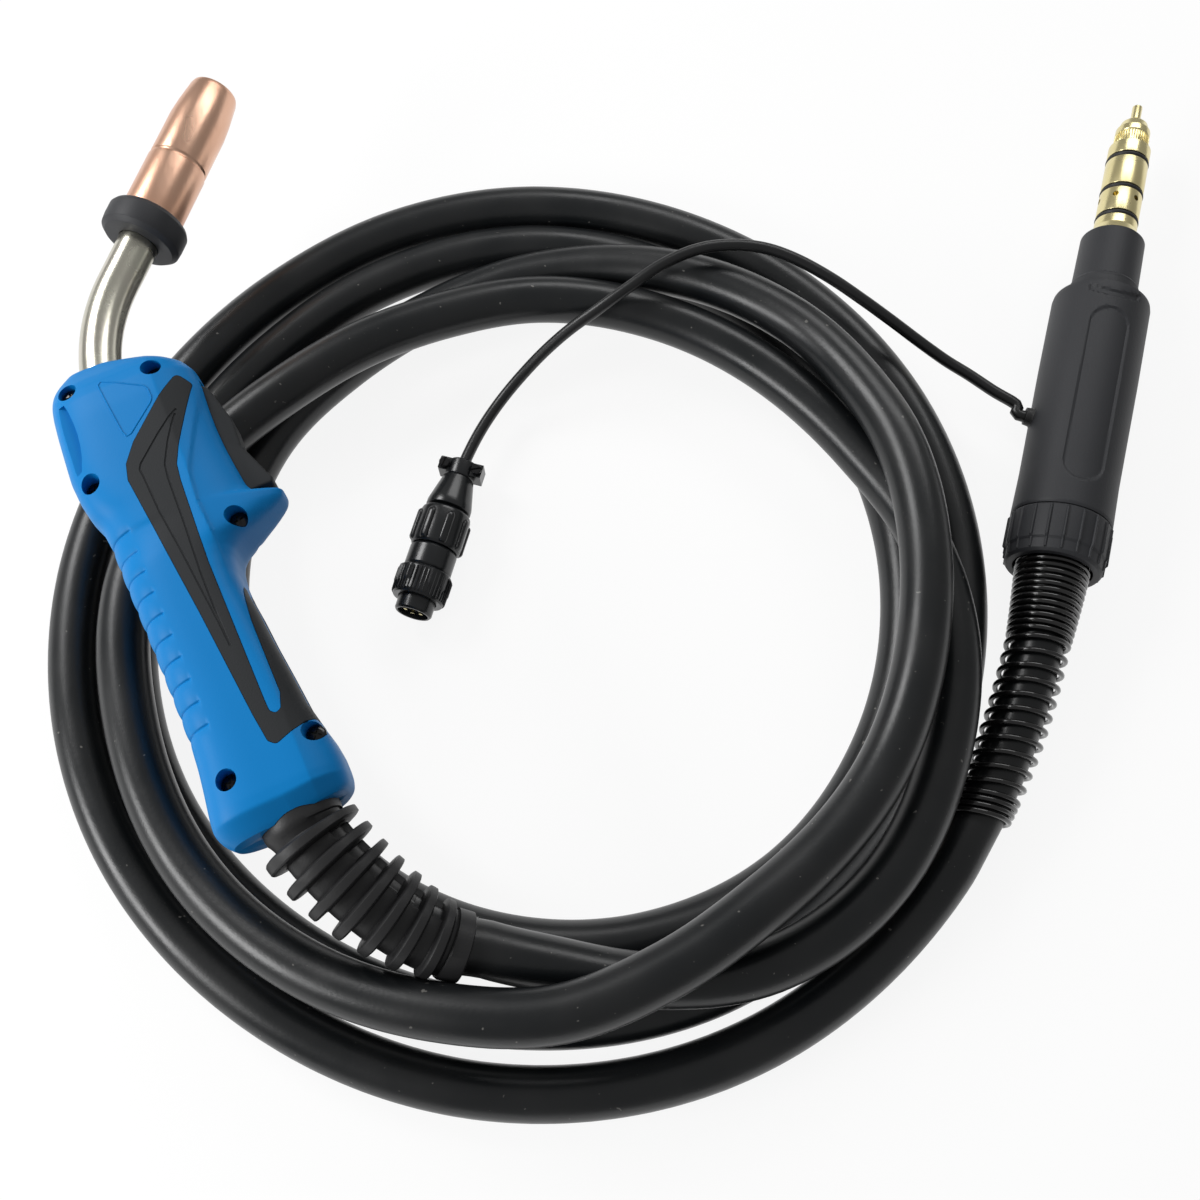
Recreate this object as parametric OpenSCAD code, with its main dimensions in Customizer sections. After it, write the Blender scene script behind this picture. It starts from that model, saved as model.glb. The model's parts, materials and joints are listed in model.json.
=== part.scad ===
// Gas-shielded wire welding torch: pistol handle with swan neck, coiled power cable,
// rear plug with support spring, and control lead with its round plug.
// The torch lies on its side on the coil. Millimetres, +Z up, Z = 0 is the bench.

/* [Front end] */
// Outside diameter of the gas nozzle
nozzle_d = 24.5; // [23:0.5:27]
// Length of the gas nozzle
nozzle_l = 67.5; // [62:0.5:72]
// Outside diameter of the nozzle's mouth
mouth_d = 20; // [18.5:0.5:21]
// Wall of the gas nozzle
nozzle_wall = 1.8; // [1.4:0.1:2.4]
// Distance that the contact tip stands back from the mouth
tip_setback = 6; // [4:0.5:10]
// Outside diameter of the contact tip
tip_d = 8; // [7:0.5:9]
// Wire bore of the contact tip
tip_bore_d = 1.3; // [1:0.1:1.8]
// Outside diameter of the insulating ring
ring_d = 33; // [30:0.5:37]
// Thickness of the insulating ring
ring_l = 12.5; // [10:0.5:14]
// Outside diameter of the swan neck
neck_d = 16; // [15:0.5:17]
// Wall of the swan neck
neck_wall = 1.7; // [1.2:0.1:2]
// Bend radius of the swan neck's centreline
neck_bend_r = 80; // [75:1:85]
// Angle of the swan neck's bend
neck_bend = 42; // [38:1:46]

/* [Handle] */
// Thickness of the handle at its grip
handle_t = 38; // [36:0.5:40]
// Wall of the handle's shells
shell_wall = 2.6; // [2:0.1:3.2]
// Depth of the soft grip inlay
inlay_t = 1.2; // [0.8:0.1:1.6]
// Depth of the finger grooves on the back edge
groove_depth = 1.1; // [0.5:0.1:1.5]
// Diameter of the recesses over the shell screws
recess_d = 8.4; // [7.5:0.1:9]
// Thickness of the trigger lever
trigger_t = 15; // [12:0.5:16]
// Diameter of the trigger's pin
trigger_pin_d = 4; // [3:0.5:5]

/* [Cable] */
// Outside diameter of the power cable
cable_d = 20; // [19.5:0.1:20.2]
// Outside diameter of the control lead
lead_d = 5; // [4.4:0.1:5.4]
// Diameter of the bend boot's ribs next to the handle
boot_rib_d = 33; // [31:0.5:35]
// Diameter of the bend boot's core next to the handle
boot_core_d = 26.5; // [25.5:0.5:28]

/* [Rear plug] */
// Outside diameter of the rear housing
housing_d = 41; // [39:0.5:42]
// Length of the rear housing
housing_l = 109; // [102:1:116]
// Outside diameter of the spring nut over its ribs
spring_nut_d = 42; // [41:0.5:44]
// Length of the spring nut
spring_nut_l = 21; // [19:0.5:24]
// Outside diameter of the black sleeve before the brass pin
sleeve_d = 28; // [25:0.5:31]
// Length of that sleeve
sleeve_l = 28; // [24:0.5:32]
// Diameter of the brass pin
pin_d = 18.5; // [18:0.5:20]
// Length of the brass pin
pin_l = 53; // [50:0.5:60]
// Diameter of the pin's root inside the sleeve and housing
pin_root_d = 20.2; // [19.8:0.1:21]
// Diameter of the knurled liner nut
liner_nut_d = 15.2; // [13:0.2:17]
// Length of the knurled liner nut
liner_nut_l = 15.5; // [13:0.5:18]
// Diameter of the liner's guide tube
liner_tube_d = 4.4; // [3.6:0.2:5]
// Wire diameter of the support spring
spring_wire_d = 2.2; // [1.8:0.1:2.3]

/* [Control plug] */
// Diameter of the control plug's barrel
plug_d = 20; // [19:0.5:21]
// Diameter of the coupling ring over its knurl
coupling_d = 24; // [23:0.5:26]
// Diameter of the plug's nose
plug_nose_d = 15.6; // [14.6:0.2:16.2]
// Diameter of the back nut over its ribs
back_nut_d = 23.6; // [23:0.2:24.6]

/* [Fits] */
// Radial running clearance of shafts and pins
run_gap = 0.06; // [0.03:0.01:0.09]
// Clearance between pieces that move past each other
slide_gap = 0.3; // [0.25:0.05:0.4]

/* [Hidden] */
$fn = 48;

blue = "#1c78be";
black = "#2a2a2c";
grey = "#2f3133";
brass = "#c8b97d";
copper = "#c89678";
steel = "#c8c3b9";

// Where the three assemblies lie on the bench
torch_at = [-124, -143.5, 63];
torch_turn = 25;
rear_turn = -16.3;
rear_at = [164, -35, spring_nut_d / 2];
plug_turn = 164.7;
plug_at = [-78, 18, coupling_d / 2 + 0.2];

// Handle's side profile as [place along the grip, back edge, trigger-side edge, half thickness]
edge_half_t = handle_t / 2;
// The form grows thinner towards its front edge, beyond front_from
front_from = 10;
front_run = 26;
front_thinning = 0.36;
handle_stations = [
    [-2, -24.2, 16.6, edge_half_t - 6], [1, -27.2, 19.2, edge_half_t - 3.4],
    [4.5, -28.6, 20.8, edge_half_t - 1], [9, -28.4, 21.4, edge_half_t],
    [14, -27.8, 21.4, edge_half_t], [20, -27.0, 20.6, edge_half_t],
    [28, -26.1, 18.6, edge_half_t], [36, -25.6, 16.8, edge_half_t],
    [50, -25.8, 15.4, edge_half_t], [64, -26.1, 13.8, edge_half_t],
    [76, -26.4, 12.8, edge_half_t], [84, -26.7, 11.8, edge_half_t],
    [92, -27.0, 11.6, edge_half_t], [98, -27.3, 12.4, edge_half_t],
    [102, -27.5, 14.0, edge_half_t], [105, -27.6, 17.6, edge_half_t],
    [108, -27.7, 24.4, edge_half_t], [112, -27.8, 32.0, edge_half_t],
    [115.5, -27.9, 36.2, edge_half_t], [118.6, -28.0, 36.8, edge_half_t],
    [119.6, -28.0, 29.0, edge_half_t], [124, -28.2, 26.8, edge_half_t],
    [129, -28.8, 26.2, edge_half_t], [134, -30.8, 25.6, edge_half_t],
    [142, -33.0, 24.8, edge_half_t], [151, -34.4, 24.4, edge_half_t],
    [160, -34.0, 24.6, edge_half_t], [171, -33.0, 25.2, edge_half_t],
    [179, -31.8, 24.8, edge_half_t - 0.6], [184, -30.8, 22.2, edge_half_t - 2],
    [188, -29.2, 17.6, edge_half_t - 4], [191, -27.0, 11.8, edge_half_t - 6],
    [193.5, -24.0, 5.0, edge_half_t - 7.6], [195.5, -20.8, -1.4, edge_half_t - 8.8]
];
groove_n = 11;
groove_first = 39;
groove_pitch = 9;
section_n = 12;
section_power = 3.4;

// Shell screws as [across, along] the handle
screw_at = [[-21.8, 185.2], [10.6, 181], [-24.8, 143.8], [20.8, 108], [16.4, 22.6], [-16.2, 18.1]];
screw_d = 3;
screw_head_d = 5.6;
screw_head_t = 2.4;
screw_seat = 9;
screw_l = 22;
boss_d = 8.6;

// Boomerang-shaped grip inlay with its strip along the front of the grip
inlay_outline = [
    [17.8, 173.4], [-4.9, 152.2], [-10.1, 144.6], [-11.5, 138.1], [-4.5, 78.3], [-0.1, 35.1],
    [1.4, 24.3], [3.8, 22], [18.7, 27.5], [30, 29], [30, 62], [22, 97], [15, 95], [11.6, 86],
    [10.7, 68.8], [11, 39.4], [9.4, 33.6], [7.4, 32.6], [5.7, 34.2], [5.5, 38.4], [4.8, 95.5],
    [6.2, 129.8], [7, 136.7], [10, 144.4], [21.8, 167.7]
];

// Trigger lever and its slot
trigger_pivot = [19.5, 166.5];
trigger_outline = [
    [16, 169.5], [18, 171.6], [24, 172.2], [26.4, 170.6], [27.6, 166.4], [30.6, 153.4],
    [30.4, 147], [30.1, 141], [34.2, 129.4], [36.4, 123.8], [35.8, 121.6], [24.5, 121.4],
    [23.6, 124], [21.8, 146], [17, 158], [15, 165]
];
flute_d = 3;
trigger_flutes = [[36.1, 127.5], [34.9, 131.5], [33.8, 135.5]];
trigger_slot = [[13.4, 174], [30, 174], [44, 150], [44, 119.6], [19.6, 119.6], [17.6, 150], [13.4, 158]];
plunger_y = 140;
plunger_d = 3;
plunger_tip_x = 21.3;
switch_face_x = 18.6;

// Swan neck's straight tail, held by the torch body inside the handle
neck_x = -11.5;
neck_bend_y = 181.8;
neck_tail_y = 150;
body_y0 = 104;
body_y1 = 166;
body_d = 23;
terminal_y0 = 72;
cable_end_y = 88;
conductor_d = 11.4;
conductor_bore_d = 6.5;
neck_straight_l = 40;
ring_s = 20;
front_s = ring_s + ring_l;
mouth_s = front_s + nozzle_l;

// Bend boot's centreline from the handle to its end collar, in the torch's own frame
boot_path = [
    [0, 12, 0], [0, 4, 0], [0.2, -4, -0.3], [2, -12, -1.4], [4.9, -20.5, -3],
    [8.4, -29, -5.1], [12.6, -37.4, -7.6], [17.6, -45.6, -10.5], [23.6, -53.2, -13.7],
    [29.6, -59.2, -16.7], [33.4, -62.3, -18.4]
];
boot_collar_d = 29;
boot_end_d = 25.2;
rib_n = 7;
rib_pitch = 9.2;
rib_t = 3.6;
// Cable's run inside the handle, from its terminal to the boot
lead_in_path = [
    [neck_x, cable_end_y, 0], [neck_x, 74, 0], [-9.6, 58, 0], [-5.6, 40, 0], [-1.8, 24, 0]
];

// Coil as [turned angle, radius, height of the centreline], counted from +X about coil_at
coil_at = [-51, -41];
coil_stations = [
    [264, 144, 44], [276, 151, 37], [288, 163, 31.5], [302, 176, 31], [318, 181, 31],
    [336, 177, 31], [352, 171, 31], [368, 160, 31], [382, 149, 29], [400, 141, 27],
    [425, 134.6, 26], [450, 129.7, 28], [466, 126, 30], [482, 126, 32], [500, 130, 33],
    [518, 141, 32], [540, 155, 31], [562, 160, 31], [585, 166, 33], [605, 168, 41],
    [622, 168, 49], [636, 168, 53], [650, 162, 53], [665, 157, 51], [690, 157, 47],
    [708, 156, 49], [722, 156, 52], [738, 158, 50], [750, 159, 44], [765, 160, 37],
    [785, 156, 30], [810, 148.5, 18], [830, 140, 11], [848, 134, 10], [866, 132, 10],
    [884, 128, 10], [902, 124, 10], [924, 120, 10], [945, 123, 10], [968, 132, 10],
    [990, 140, 10], [1010, 147, 10], [1032, 153, 10], [1056, 155, 10], [1080, 157, 10],
    [1110, 161, 10], [1140, 166, 10], [1170, 169, 10], [1195, 164.5, 10], [1215, 160, 10],
    [1240, 160, 10], [1262, 161, 10], [1290, 163, 10], [1320, 164, 10], [1350, 168, 10],
    [1375, 173, 10], [1400, 175, 10], [1422, 178, 10], [1442, 181, 10], [1470, 186, 10],
    [1500, 189, 10], [1530, 190.5, 10], [1550, 188, 10], [1567, 184, 10], [1590, 182, 10],
    [1620, 184, 10], [1650, 186, 10], [1680, 188, 10], [1710, 193, 10], [1735, 197, 10],
    [1758, 198.5, 11.6], [1771, 200, 13.3]
];
coil_step = 15;
coil_sides = 6;

// Tail of the cable in the rear plug's own frame, as [along the axis, across, height]
tail_stations = [
    [-109.5, -9.8, -7.7], [-95, -6.2, -7.1], [-80, -3.5, -5.9], [-64, -1.6, -4.2], [-46, -0.5, -2.3],
    [-30, 0, -1], [-15, 0, 0], [0, 0, 0], [48, 0, 0]
];

// Support spring: a close-wound cone, open turns, and a few closed turns at its end
spring_od = 26.6;
spring_cone_od = 30.4;
spring_start_s = 4;
cone_turns = 13;
open_turns = 11;
closed_turns = 3.5;
closed_pitch = spring_wire_d + 0.45;
open_pitch = 6;
curl_rings = 8;
spring_turns = cone_turns + open_turns + closed_turns;

// Rear plug's places along its axis, from the spring nut's cable end
housing_s = spring_nut_l + slide_gap;
sleeve_s = housing_s + housing_l + 6;
pin_s = sleeve_s + sleeve_l;
liner_nut_s = pin_s + pin_l + slide_gap;
ring_groove_w = 2.6;
o_ring_t = 2;
o_ring_at = [11, 26, 44];
gas_hole_at = 20.6;
lead_exit_s = 67;

// Control lead's route over the coil, from the rear housing to its plug
lead_route = [
    [165.5, 34.8, 21], [158, 41, 21], [149, 47.6, 21], [139, 55.4, 21.4], [129, 61.6, 23],
    [117, 68.8, 27], [105, 76, 31.6], [92, 83, 37], [78, 90.4, 42], [63, 97.4, 45.6],
    [49, 101.6, 47.6], [34, 102.4, 48.4], [20, 99.8, 48.4], [6, 93.4, 47.2], [-8, 84.4, 44],
    [-21, 76.4, 39.6], [-33, 70.4, 33.4], [-44, 64, 26], [-54, 56.6, 18.6], [-62.4, 48, 13.8],
    [-69, 38, 12.4], [-74, 28, 12.2]
];

// --- common functions -------------------------------------------------------------------------

function unit(v) = v / norm(v);
function slot_of(table, t, i = 0) = (i >= len(table) - 2 || t <= table[i + 1][0]) ? i : slot_of(table, t, i + 1);
function slope(table, j, k) =
    let (a = max(j - 1, 0), b = min(j + 1, len(table) - 1))
    (table[b][k] - table[a][k]) / (table[b][0] - table[a][0]);
// Smooth value of column k at place t, through every row of the table
function smooth(table, t, k) =
    let (i = slot_of(table, t), h = table[i + 1][0] - table[i][0], u = (t - table[i][0]) / h)
    table[i][k] * (2 * u ^ 3 - 3 * u ^ 2 + 1) + slope(table, i, k) * h * (u ^ 3 - 2 * u ^ 2 + u)
    + table[i + 1][k] * (3 * u ^ 2 - 2 * u ^ 3) + slope(table, i + 1, k) * h * (u ^ 3 - u ^ 2);
function linear(table, t, k) =
    let (i = slot_of(table, t), u = (t - table[i][0]) / (table[i + 1][0] - table[i][0]))
    table[i][k] * (1 - u) + table[i + 1][k] * u;
function tangent(path, i) = unit(path[min(i + 1, len(path) - 1)] - path[max(i - 1, 0)]);
function turned(p, a) = [p[0] * cos(a) - p[1] * sin(a), p[0] * sin(a) + p[1] * cos(a), p[2]];
function in_torch(p) = torch_at + turned(p, torch_turn);
function in_rear(p) = rear_at + turned(p, rear_turn);

// Ring of points square to direction t, its first point level with the centre
function ring_at(c, t, r, sides, first = 0) =
    let (s = unit(cross(t, [0, 0, 1])), u = cross(s, t))
    [for (k = [0:sides - 1]) let (a = first + 360 * k / sides) c + r * (cos(a) * s + sin(a) * u)];
function flat(lists) = [for (l = lists) for (p = l) p];

// Closed skin over a row of rings that all have the same number of points
module skin(rings) {
    n = len(rings[0]);
    m = len(rings);
    polyhedron(
        points = flat(rings),
        faces = concat(
            [for (i = [0:m - 2], k = [0:n - 1]) [i * n + k, i * n + (k + 1) % n, (i + 1) * n + k]],
            [for (i = [0:m - 2], k = [0:n - 1])
                [i * n + (k + 1) % n, (i + 1) * n + (k + 1) % n, (i + 1) * n + k]],
            [for (k = [1:n - 2]) [0, k + 1, k]],
            [for (k = [1:n - 2]) [(m - 1) * n, (m - 1) * n + k, (m - 1) * n + k + 1]]
        ),
        convexity = 10
    );
}

// Tube along a path with a radius at each point
module tube(path, radii, sides, first_dir = undef, last_dir = undef) {
    last = len(path) - 1;
    skin([for (i = [0:last])
        let (t = i == 0 && !is_undef(first_dir) ? first_dir
            : i == last && !is_undef(last_dir) ? last_dir : tangent(path, i))
        ring_at(path[i], t, radii[i], sides, 180 / sides)]);
}

// Body of revolution along +Y, from [radius, place] points
module turned_y(profile) {
    rotate([-90, 0, 0])
        rotate_extrude()
            polygon(profile);
}

module rod_y(d, from, to) {
    translate([0, from, 0])
        rotate([-90, 0, 0])
            cylinder(d = d, h = to - from);
}

module at_torch() {
    translate(torch_at)
        rotate([0, 0, torch_turn])
            children();
}

// The nozzle's axis: +Y runs from the end of the neck's bend to the mouth
module at_front() {
    at_torch()
        translate([neck_x + neck_bend_r * (1 - cos(neck_bend)), neck_bend_y + neck_bend_r * sin(neck_bend), 0])
            rotate([0, 0, -neck_bend])
                children();
}

module at_rear() {
    translate(rear_at)
        rotate([0, 0, rear_turn])
            children();
}

module at_plug() {
    translate(plug_at)
        rotate([0, 0, plug_turn])
            children();
}

// --- front end --------------------------------------------------------------------------------

module gas_nozzle() {
    r = nozzle_d / 2;
    r_mouth = mouth_d / 2;
    back = front_s + slide_gap;
    color(copper)
        at_front()
            turned_y([
                [r - nozzle_wall, back], [r - 0.5, back], [r, back + 0.8], [r, back + 26],
                [r - 0.7, back + 26.6], [r - 0.7, back + 27.6], [r - 0.25, back + 28.2],
                [r - 0.25, mouth_s - 19], [r - 0.8, mouth_s - 12], [r_mouth + 0.2, mouth_s - 2],
                [r_mouth - 0.4, mouth_s], [r_mouth - nozzle_wall + 0.3, mouth_s],
                [r_mouth - nozzle_wall, mouth_s - 1], [r - nozzle_wall - 0.8, mouth_s - 13],
                [r - nozzle_wall, mouth_s - 21]
            ]);
}

tip_s = mouth_s - tip_setback;
tip_l = 30;
diffuser_d = 14;

module contact_tip() {
    bore = tip_bore_d / 2;
    r = tip_d / 2;
    color(copper)
        at_front()
            turned_y([
                [bore, tip_s - tip_l], [r - 1.2, tip_s - tip_l], [r - 1.2, tip_s - tip_l + 5.5],
                [r, tip_s - tip_l + 5.5], [r, tip_s - 4], [r - 1.4, tip_s], [bore + 0.2, tip_s],
                [bore, tip_s - 0.4]
            ]);
}

module gas_diffuser() {
    from = front_s - 2;
    to = tip_s - tip_l + 5.2;
    seat = tip_d / 2 - 1.2 + run_gap;
    color(brass)
        at_front()
            difference() {
                turned_y([
                    [2, from], [conductor_d / 2, from], [conductor_d / 2, front_s + 9],
                    [diffuser_d / 2, front_s + 9], [diffuser_d / 2, to - 3], [diffuser_d / 2 - 2, to],
                    [seat, to], [seat, to - 6], [2, to - 6]
                ]);
                for (a = [0:90:270])
                    translate([0, front_s + 16, 0])
                        rotate([0, a, 0])
                            cylinder(d = 2, h = diffuser_d);
            }
}

module nozzle_insulator() {
    r = ring_d / 2;
    bore = neck_d / 2 + run_gap;
    boss = nozzle_d / 2 - nozzle_wall - slide_gap;
    color(grey)
        at_front()
            turned_y([
                [bore, ring_s], [r - 1.5, ring_s], [r, ring_s + 1.5], [r, front_s - 1.5],
                [r - 1.5, front_s], [boss, front_s], [boss, front_s + 7.5], [boss - 0.6, front_s + 8],
                [conductor_d / 2 + run_gap, front_s + 8], [conductor_d / 2 + run_gap, front_s + 0.2],
                [bore, front_s + 0.2]
            ]);
}

module neck_run(d, from_y, to_s) {
    translate([neck_x, 0, 0]) {
        rod_y(d, from_y, neck_bend_y);
        rod_y(d + 0.3, neck_bend_y - 0.6, neck_bend_y + 0.6);
    }
    translate([neck_x + neck_bend_r, neck_bend_y, 0])
        rotate([0, 0, 180 - neck_bend])
            rotate_extrude(angle = neck_bend, $fn = 96)
                translate([neck_bend_r, 0])
                    circle(d = d, $fn = 48);
    translate([neck_x + neck_bend_r * (1 - cos(neck_bend)), neck_bend_y + neck_bend_r * sin(neck_bend), 0])
        rotate([0, 0, -neck_bend]) {
            rod_y(d, 0, to_s);
            rod_y(d + 0.3, -0.6, 0.6);
        }
}

module swan_neck() {
    color(steel)
        at_torch()
            difference() {
                neck_run(neck_d, neck_tail_y, front_s);
                neck_run(neck_d - 2 * neck_wall, neck_tail_y - 1, front_s + 1);
            }
}

module neck_conductor() {
    color(brass)
        at_torch()
            difference() {
                neck_run(conductor_d, neck_tail_y - 14, front_s - 2.2);
                neck_run(conductor_bore_d, neck_tail_y - 15, front_s - 1);
            }
}

// --- handle -----------------------------------------------------------------------------------

// How deep a finger groove cuts at place y
function groove_at(y) =
    let (k = round((y - groove_first) / groove_pitch), off = abs(y - groove_first - k * groove_pitch))
    k < 0 || k >= groove_n || off > 0.6 ? 0 : groove_depth;
groove_ys = [for (k = [0:groove_n - 1], d = [-1.5, 0, 1.5]) groove_first + k * groove_pitch + d];
station_ys = [for (s = handle_stations) s[0]];
function clear_of_grooves(y) =
    y < groove_first - 2 || y > groove_first + (groove_n - 1) * groove_pitch + 2;
low_ys = [for (y = station_ys) if (y < groove_first - 2) y];
high_ys = [for (y = station_ys) if (y > groove_first + (groove_n - 1) * groove_pitch + 2) y];
loft_ys = concat(low_ys, [for (k = [0:groove_n - 1], d = [-3, -1, 0, 1])
    if (groove_first + k * groove_pitch + d < groove_first + (groove_n - 1) * groove_pitch + 2)
        groove_first + k * groove_pitch + d], high_ys);
cavity_from = 3;
cavity_to = 190;
cavity_ys = [for (y = station_ys) if (y > cavity_from && y < cavity_to) y];

// Half of one cross section of the handle, from the front edge over the crown to the back edge
function half_section(y, out, grooved) =
    let (
        left = linear(handle_stations, y, 1) - out,
        right = linear(handle_stations, y, 2) + out,
        h = linear(handle_stations, y, 3) + out,
        mid = (left + right) / 2,
        w = (right - left) / 2,
        g = grooved ? groove_at(y) : 0
    )
    [for (k = [0:section_n])
        let (
            a = 180 * k / section_n,
            c = cos(a),
            s = sin(a),
            e = 2 / section_power,
            x = mid + w * sign(c) * abs(c) ^ e,
            z = h * abs(s) ^ e,
            front = 1 - front_thinning * min(1, max(0, (x - front_from) / front_run)),
            near = max(0, 1 - (x - left) / 15)
        )
        [x + g * near, y, k == 0 || k == section_n ? 0 : z * front - g * (near > 0 ? 0.6 : 0)]];

// Half of the handle's form, grown by out, standing on the parting plane or skirted below it
module half_form(out, ys, grooved = false, skirt = 0) {
    skin([for (i = [0:len(ys) - 1])
        let (
            end = i == 0 ? -out : i == len(ys) - 1 ? out : 0,
            half = [for (p = half_section(ys[i], out, grooved)) p + [0, end, 0]],
            low = [0, 0, -skirt]
        )
        skirt == 0 ? half : concat([half[0] + low], half, [half[section_n] + low])]);
}

module inlay_prism() {
    translate([0, 0, 1])
        linear_extrude(height = 40)
            polygon(inlay_outline);
}

module slot_prism() {
    translate([0, 0, -trigger_t / 2 - slide_gap])
        linear_extrude(height = trigger_t + 2 * slide_gap)
            polygon(trigger_slot);
}

// One shell as it lies face up, with bosses and cradles for the torch body
module shell() {
    difference() {
        union() {
            difference() {
                half_form(0, loft_ys, true);
                half_form(-shell_wall, cavity_ys, skirt = 2);
            }
            intersection() {
                half_form(-shell_wall / 2, cavity_ys);
                union() {
                    for (p = screw_at)
                        translate([p[0], p[1], 0])
                            cylinder(d = boss_d, h = handle_t);
                    translate([trigger_pivot[0], trigger_pivot[1], 0])
                        cylinder(d = boss_d, h = handle_t);
                    for (y = [body_y0 + 12, body_y1 - 14])
                        translate([-40, y, 0])
                            cube([54, 3, handle_t]);
                    translate([-40, 26, 0])
                        cube([60, 3, handle_t]);
                    for (y = [plunger_y - 6, plunger_y + 3])
                        translate([4, y, 0])
                            cube([13, 3, handle_t]);
                }
            }
        }
        difference() {
            inlay_prism();
            half_form(-inlay_t, station_ys, skirt = 2);
        }
        slot_prism();
        translate([neck_x, 0, 0])
            rod_y(body_d + 0.2, terminal_y0 - 1, body_y1 + 0.4);
        at_neck_exit();
        rod_y(boot_collar_d + 0.2, -8, 13);
        rod_y(cable_d + 3, 0, 24);
        tube(lead_in_path, [for (p = lead_in_path) cable_d / 2 + 0.6], 16);
        translate([switch_back_x - 0.1, plunger_y - switch_l / 2 - 0.1, -switch_t / 2 - 0.1])
            cube([switch_face_x - switch_back_x + 3, switch_l + 0.2, switch_t + 0.2]);
        translate([trigger_pivot[0], trigger_pivot[1], -1])
            cylinder(d = trigger_pin_d + 2 * run_gap, h = trigger_pin_l / 2 + 1.3);
        children();
    }
}
switch_back_x = 8;
switch_l = 16;
switch_t = 10;
trigger_pin_l = 20;

module at_neck_exit() {
    neck_run(neck_d + 0.4, body_y1 - 1, 5);
}

module handle_upper() {
    color(blue)
        at_torch()
            shell()
                for (p = screw_at)
                    translate([p[0], p[1], 0]) {
                        translate([0, 0, -1])
                            cylinder(d = screw_d + 0.5, h = handle_t);
                        translate([0, 0, screw_seat])
                            cylinder(d = recess_d, h = handle_t);
                    }
}

module handle_lower() {
    color(blue)
        at_torch()
            mirror([0, 0, 1])
                shell()
                    for (p = screw_at)
                        translate([p[0], p[1], -1])
                            cylinder(d = screw_d + 0.1, h = screw_l - screw_seat + 1.4);
}

module grip_inlay() {
    difference() {
        intersection() {
            half_form(0.15, inlay_ys);
            inlay_prism();
        }
        half_form(0.1 - inlay_t, inlay_ys, skirt = 2);
        slot_prism();
        for (p = screw_at)
            translate([p[0], p[1], 0])
                cylinder(d = recess_d + 0.4, h = handle_t);
    }
}
inlay_from = 10;
inlay_to = 185;
inlay_ys = [for (y = station_ys) if (y > inlay_from && y < inlay_to) y];

module grip_inlay_upper() {
    color(black)
        at_torch()
            grip_inlay();
}

module grip_inlay_lower() {
    color(black)
        at_torch()
            mirror([0, 0, 1])
                grip_inlay();
}

module trigger_lever() {
    color(black)
        at_torch()
            difference() {
                translate([0, 0, -trigger_t / 2])
                    linear_extrude(height = trigger_t)
                        polygon(trigger_outline);
                translate([trigger_pivot[0], trigger_pivot[1], -trigger_t])
                    cylinder(d = trigger_pin_d + 2 * run_gap, h = 2 * trigger_t);
                for (p = trigger_flutes)
                    translate([p[0], p[1], -trigger_t])
                        cylinder(d = flute_d, h = 2 * trigger_t, $fn = 24);
            }
}

module trigger_pin() {
    color(steel)
        at_torch()
            translate([trigger_pivot[0], trigger_pivot[1], -trigger_pin_l / 2])
                cylinder(d = trigger_pin_d, h = trigger_pin_l);
}

module micro_switch() {
    color(grey)
        at_torch()
            difference() {
                translate([switch_back_x, plunger_y - switch_l / 2, -switch_t / 2])
                    cube([switch_face_x - switch_back_x, switch_l, switch_t]);
                translate([switch_back_x + 3, plunger_y, 0])
                    rotate([0, 90, 0])
                        cylinder(d = plunger_d + 2 * run_gap, h = 20);
            }
}

module switch_plunger() {
    color("#b03a2e")
        at_torch()
            translate([switch_back_x + 5.5, plunger_y, 0])
                rotate([0, 90, 0])
                    cylinder(d = plunger_d, h = plunger_tip_x - switch_back_x - 5.5);
}

module handle_screws() {
    color(black)
        at_torch()
            for (p = screw_at)
                translate([p[0], p[1], screw_seat + 0.05])
                    difference() {
                        union() {
                            cylinder(d = screw_head_d, h = screw_head_t);
                            translate([0, 0, -screw_l + 0.5])
                                cylinder(d = screw_d, h = screw_l - 0.4);
                        }
                        for (a = [0, 90])
                            rotate([0, 0, a])
                                translate([-1.7, -0.45, screw_head_t - 1.2])
                                    cube([3.4, 0.9, 2]);
                    }
}

module torch_body() {
    color(brass)
        at_torch()
            translate([neck_x, 0, 0])
                difference() {
                    turned_y([
                        [0, body_y0], [body_d / 2 - 1, body_y0], [body_d / 2, body_y0 + 1],
                        [body_d / 2, body_y1 - 1], [body_d / 2 - 1, body_y1], [0, body_y1]
                    ]);
                    rod_y(neck_d + 0.1, neck_tail_y - 0.1, body_y1 + 1);
                    rod_y(conductor_d + 0.1, neck_tail_y - 14.1, neck_tail_y);
                    rod_y(conductor_bore_d, body_y0 - 1, neck_tail_y);
                    translate([0, body_y1 - 8, 0])
                        rotate([0, -90, 0])
                            cylinder(d = 4, h = body_d);
                }
}

module clamp_screw() {
    color(steel)
        at_torch()
            translate([neck_x - neck_d / 2 - 0.1, body_y1 - 8, 0])
                rotate([0, -90, 0])
                    difference() {
                        cylinder(d = 3.9, h = (body_d - neck_d) / 2);
                        translate([0, 0, (body_d - neck_d) / 2 - 1.4])
                            cylinder(d = 2.2, h = 3, $fn = 6);
                    }
}

module cable_terminal() {
    color(copper)
        at_torch()
            translate([neck_x, 0, 0])
                turned_y([
                    [cable_d / 2 + 0.05, terminal_y0], [body_d / 2, terminal_y0],
                    [body_d / 2, body_y0 - 0.05], [3, body_y0 - 0.05], [3, cable_end_y + 0.05],
                    [cable_d / 2 + 0.05, cable_end_y + 0.05]
                ]);
}

// --- bend boot --------------------------------------------------------------------------------

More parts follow.
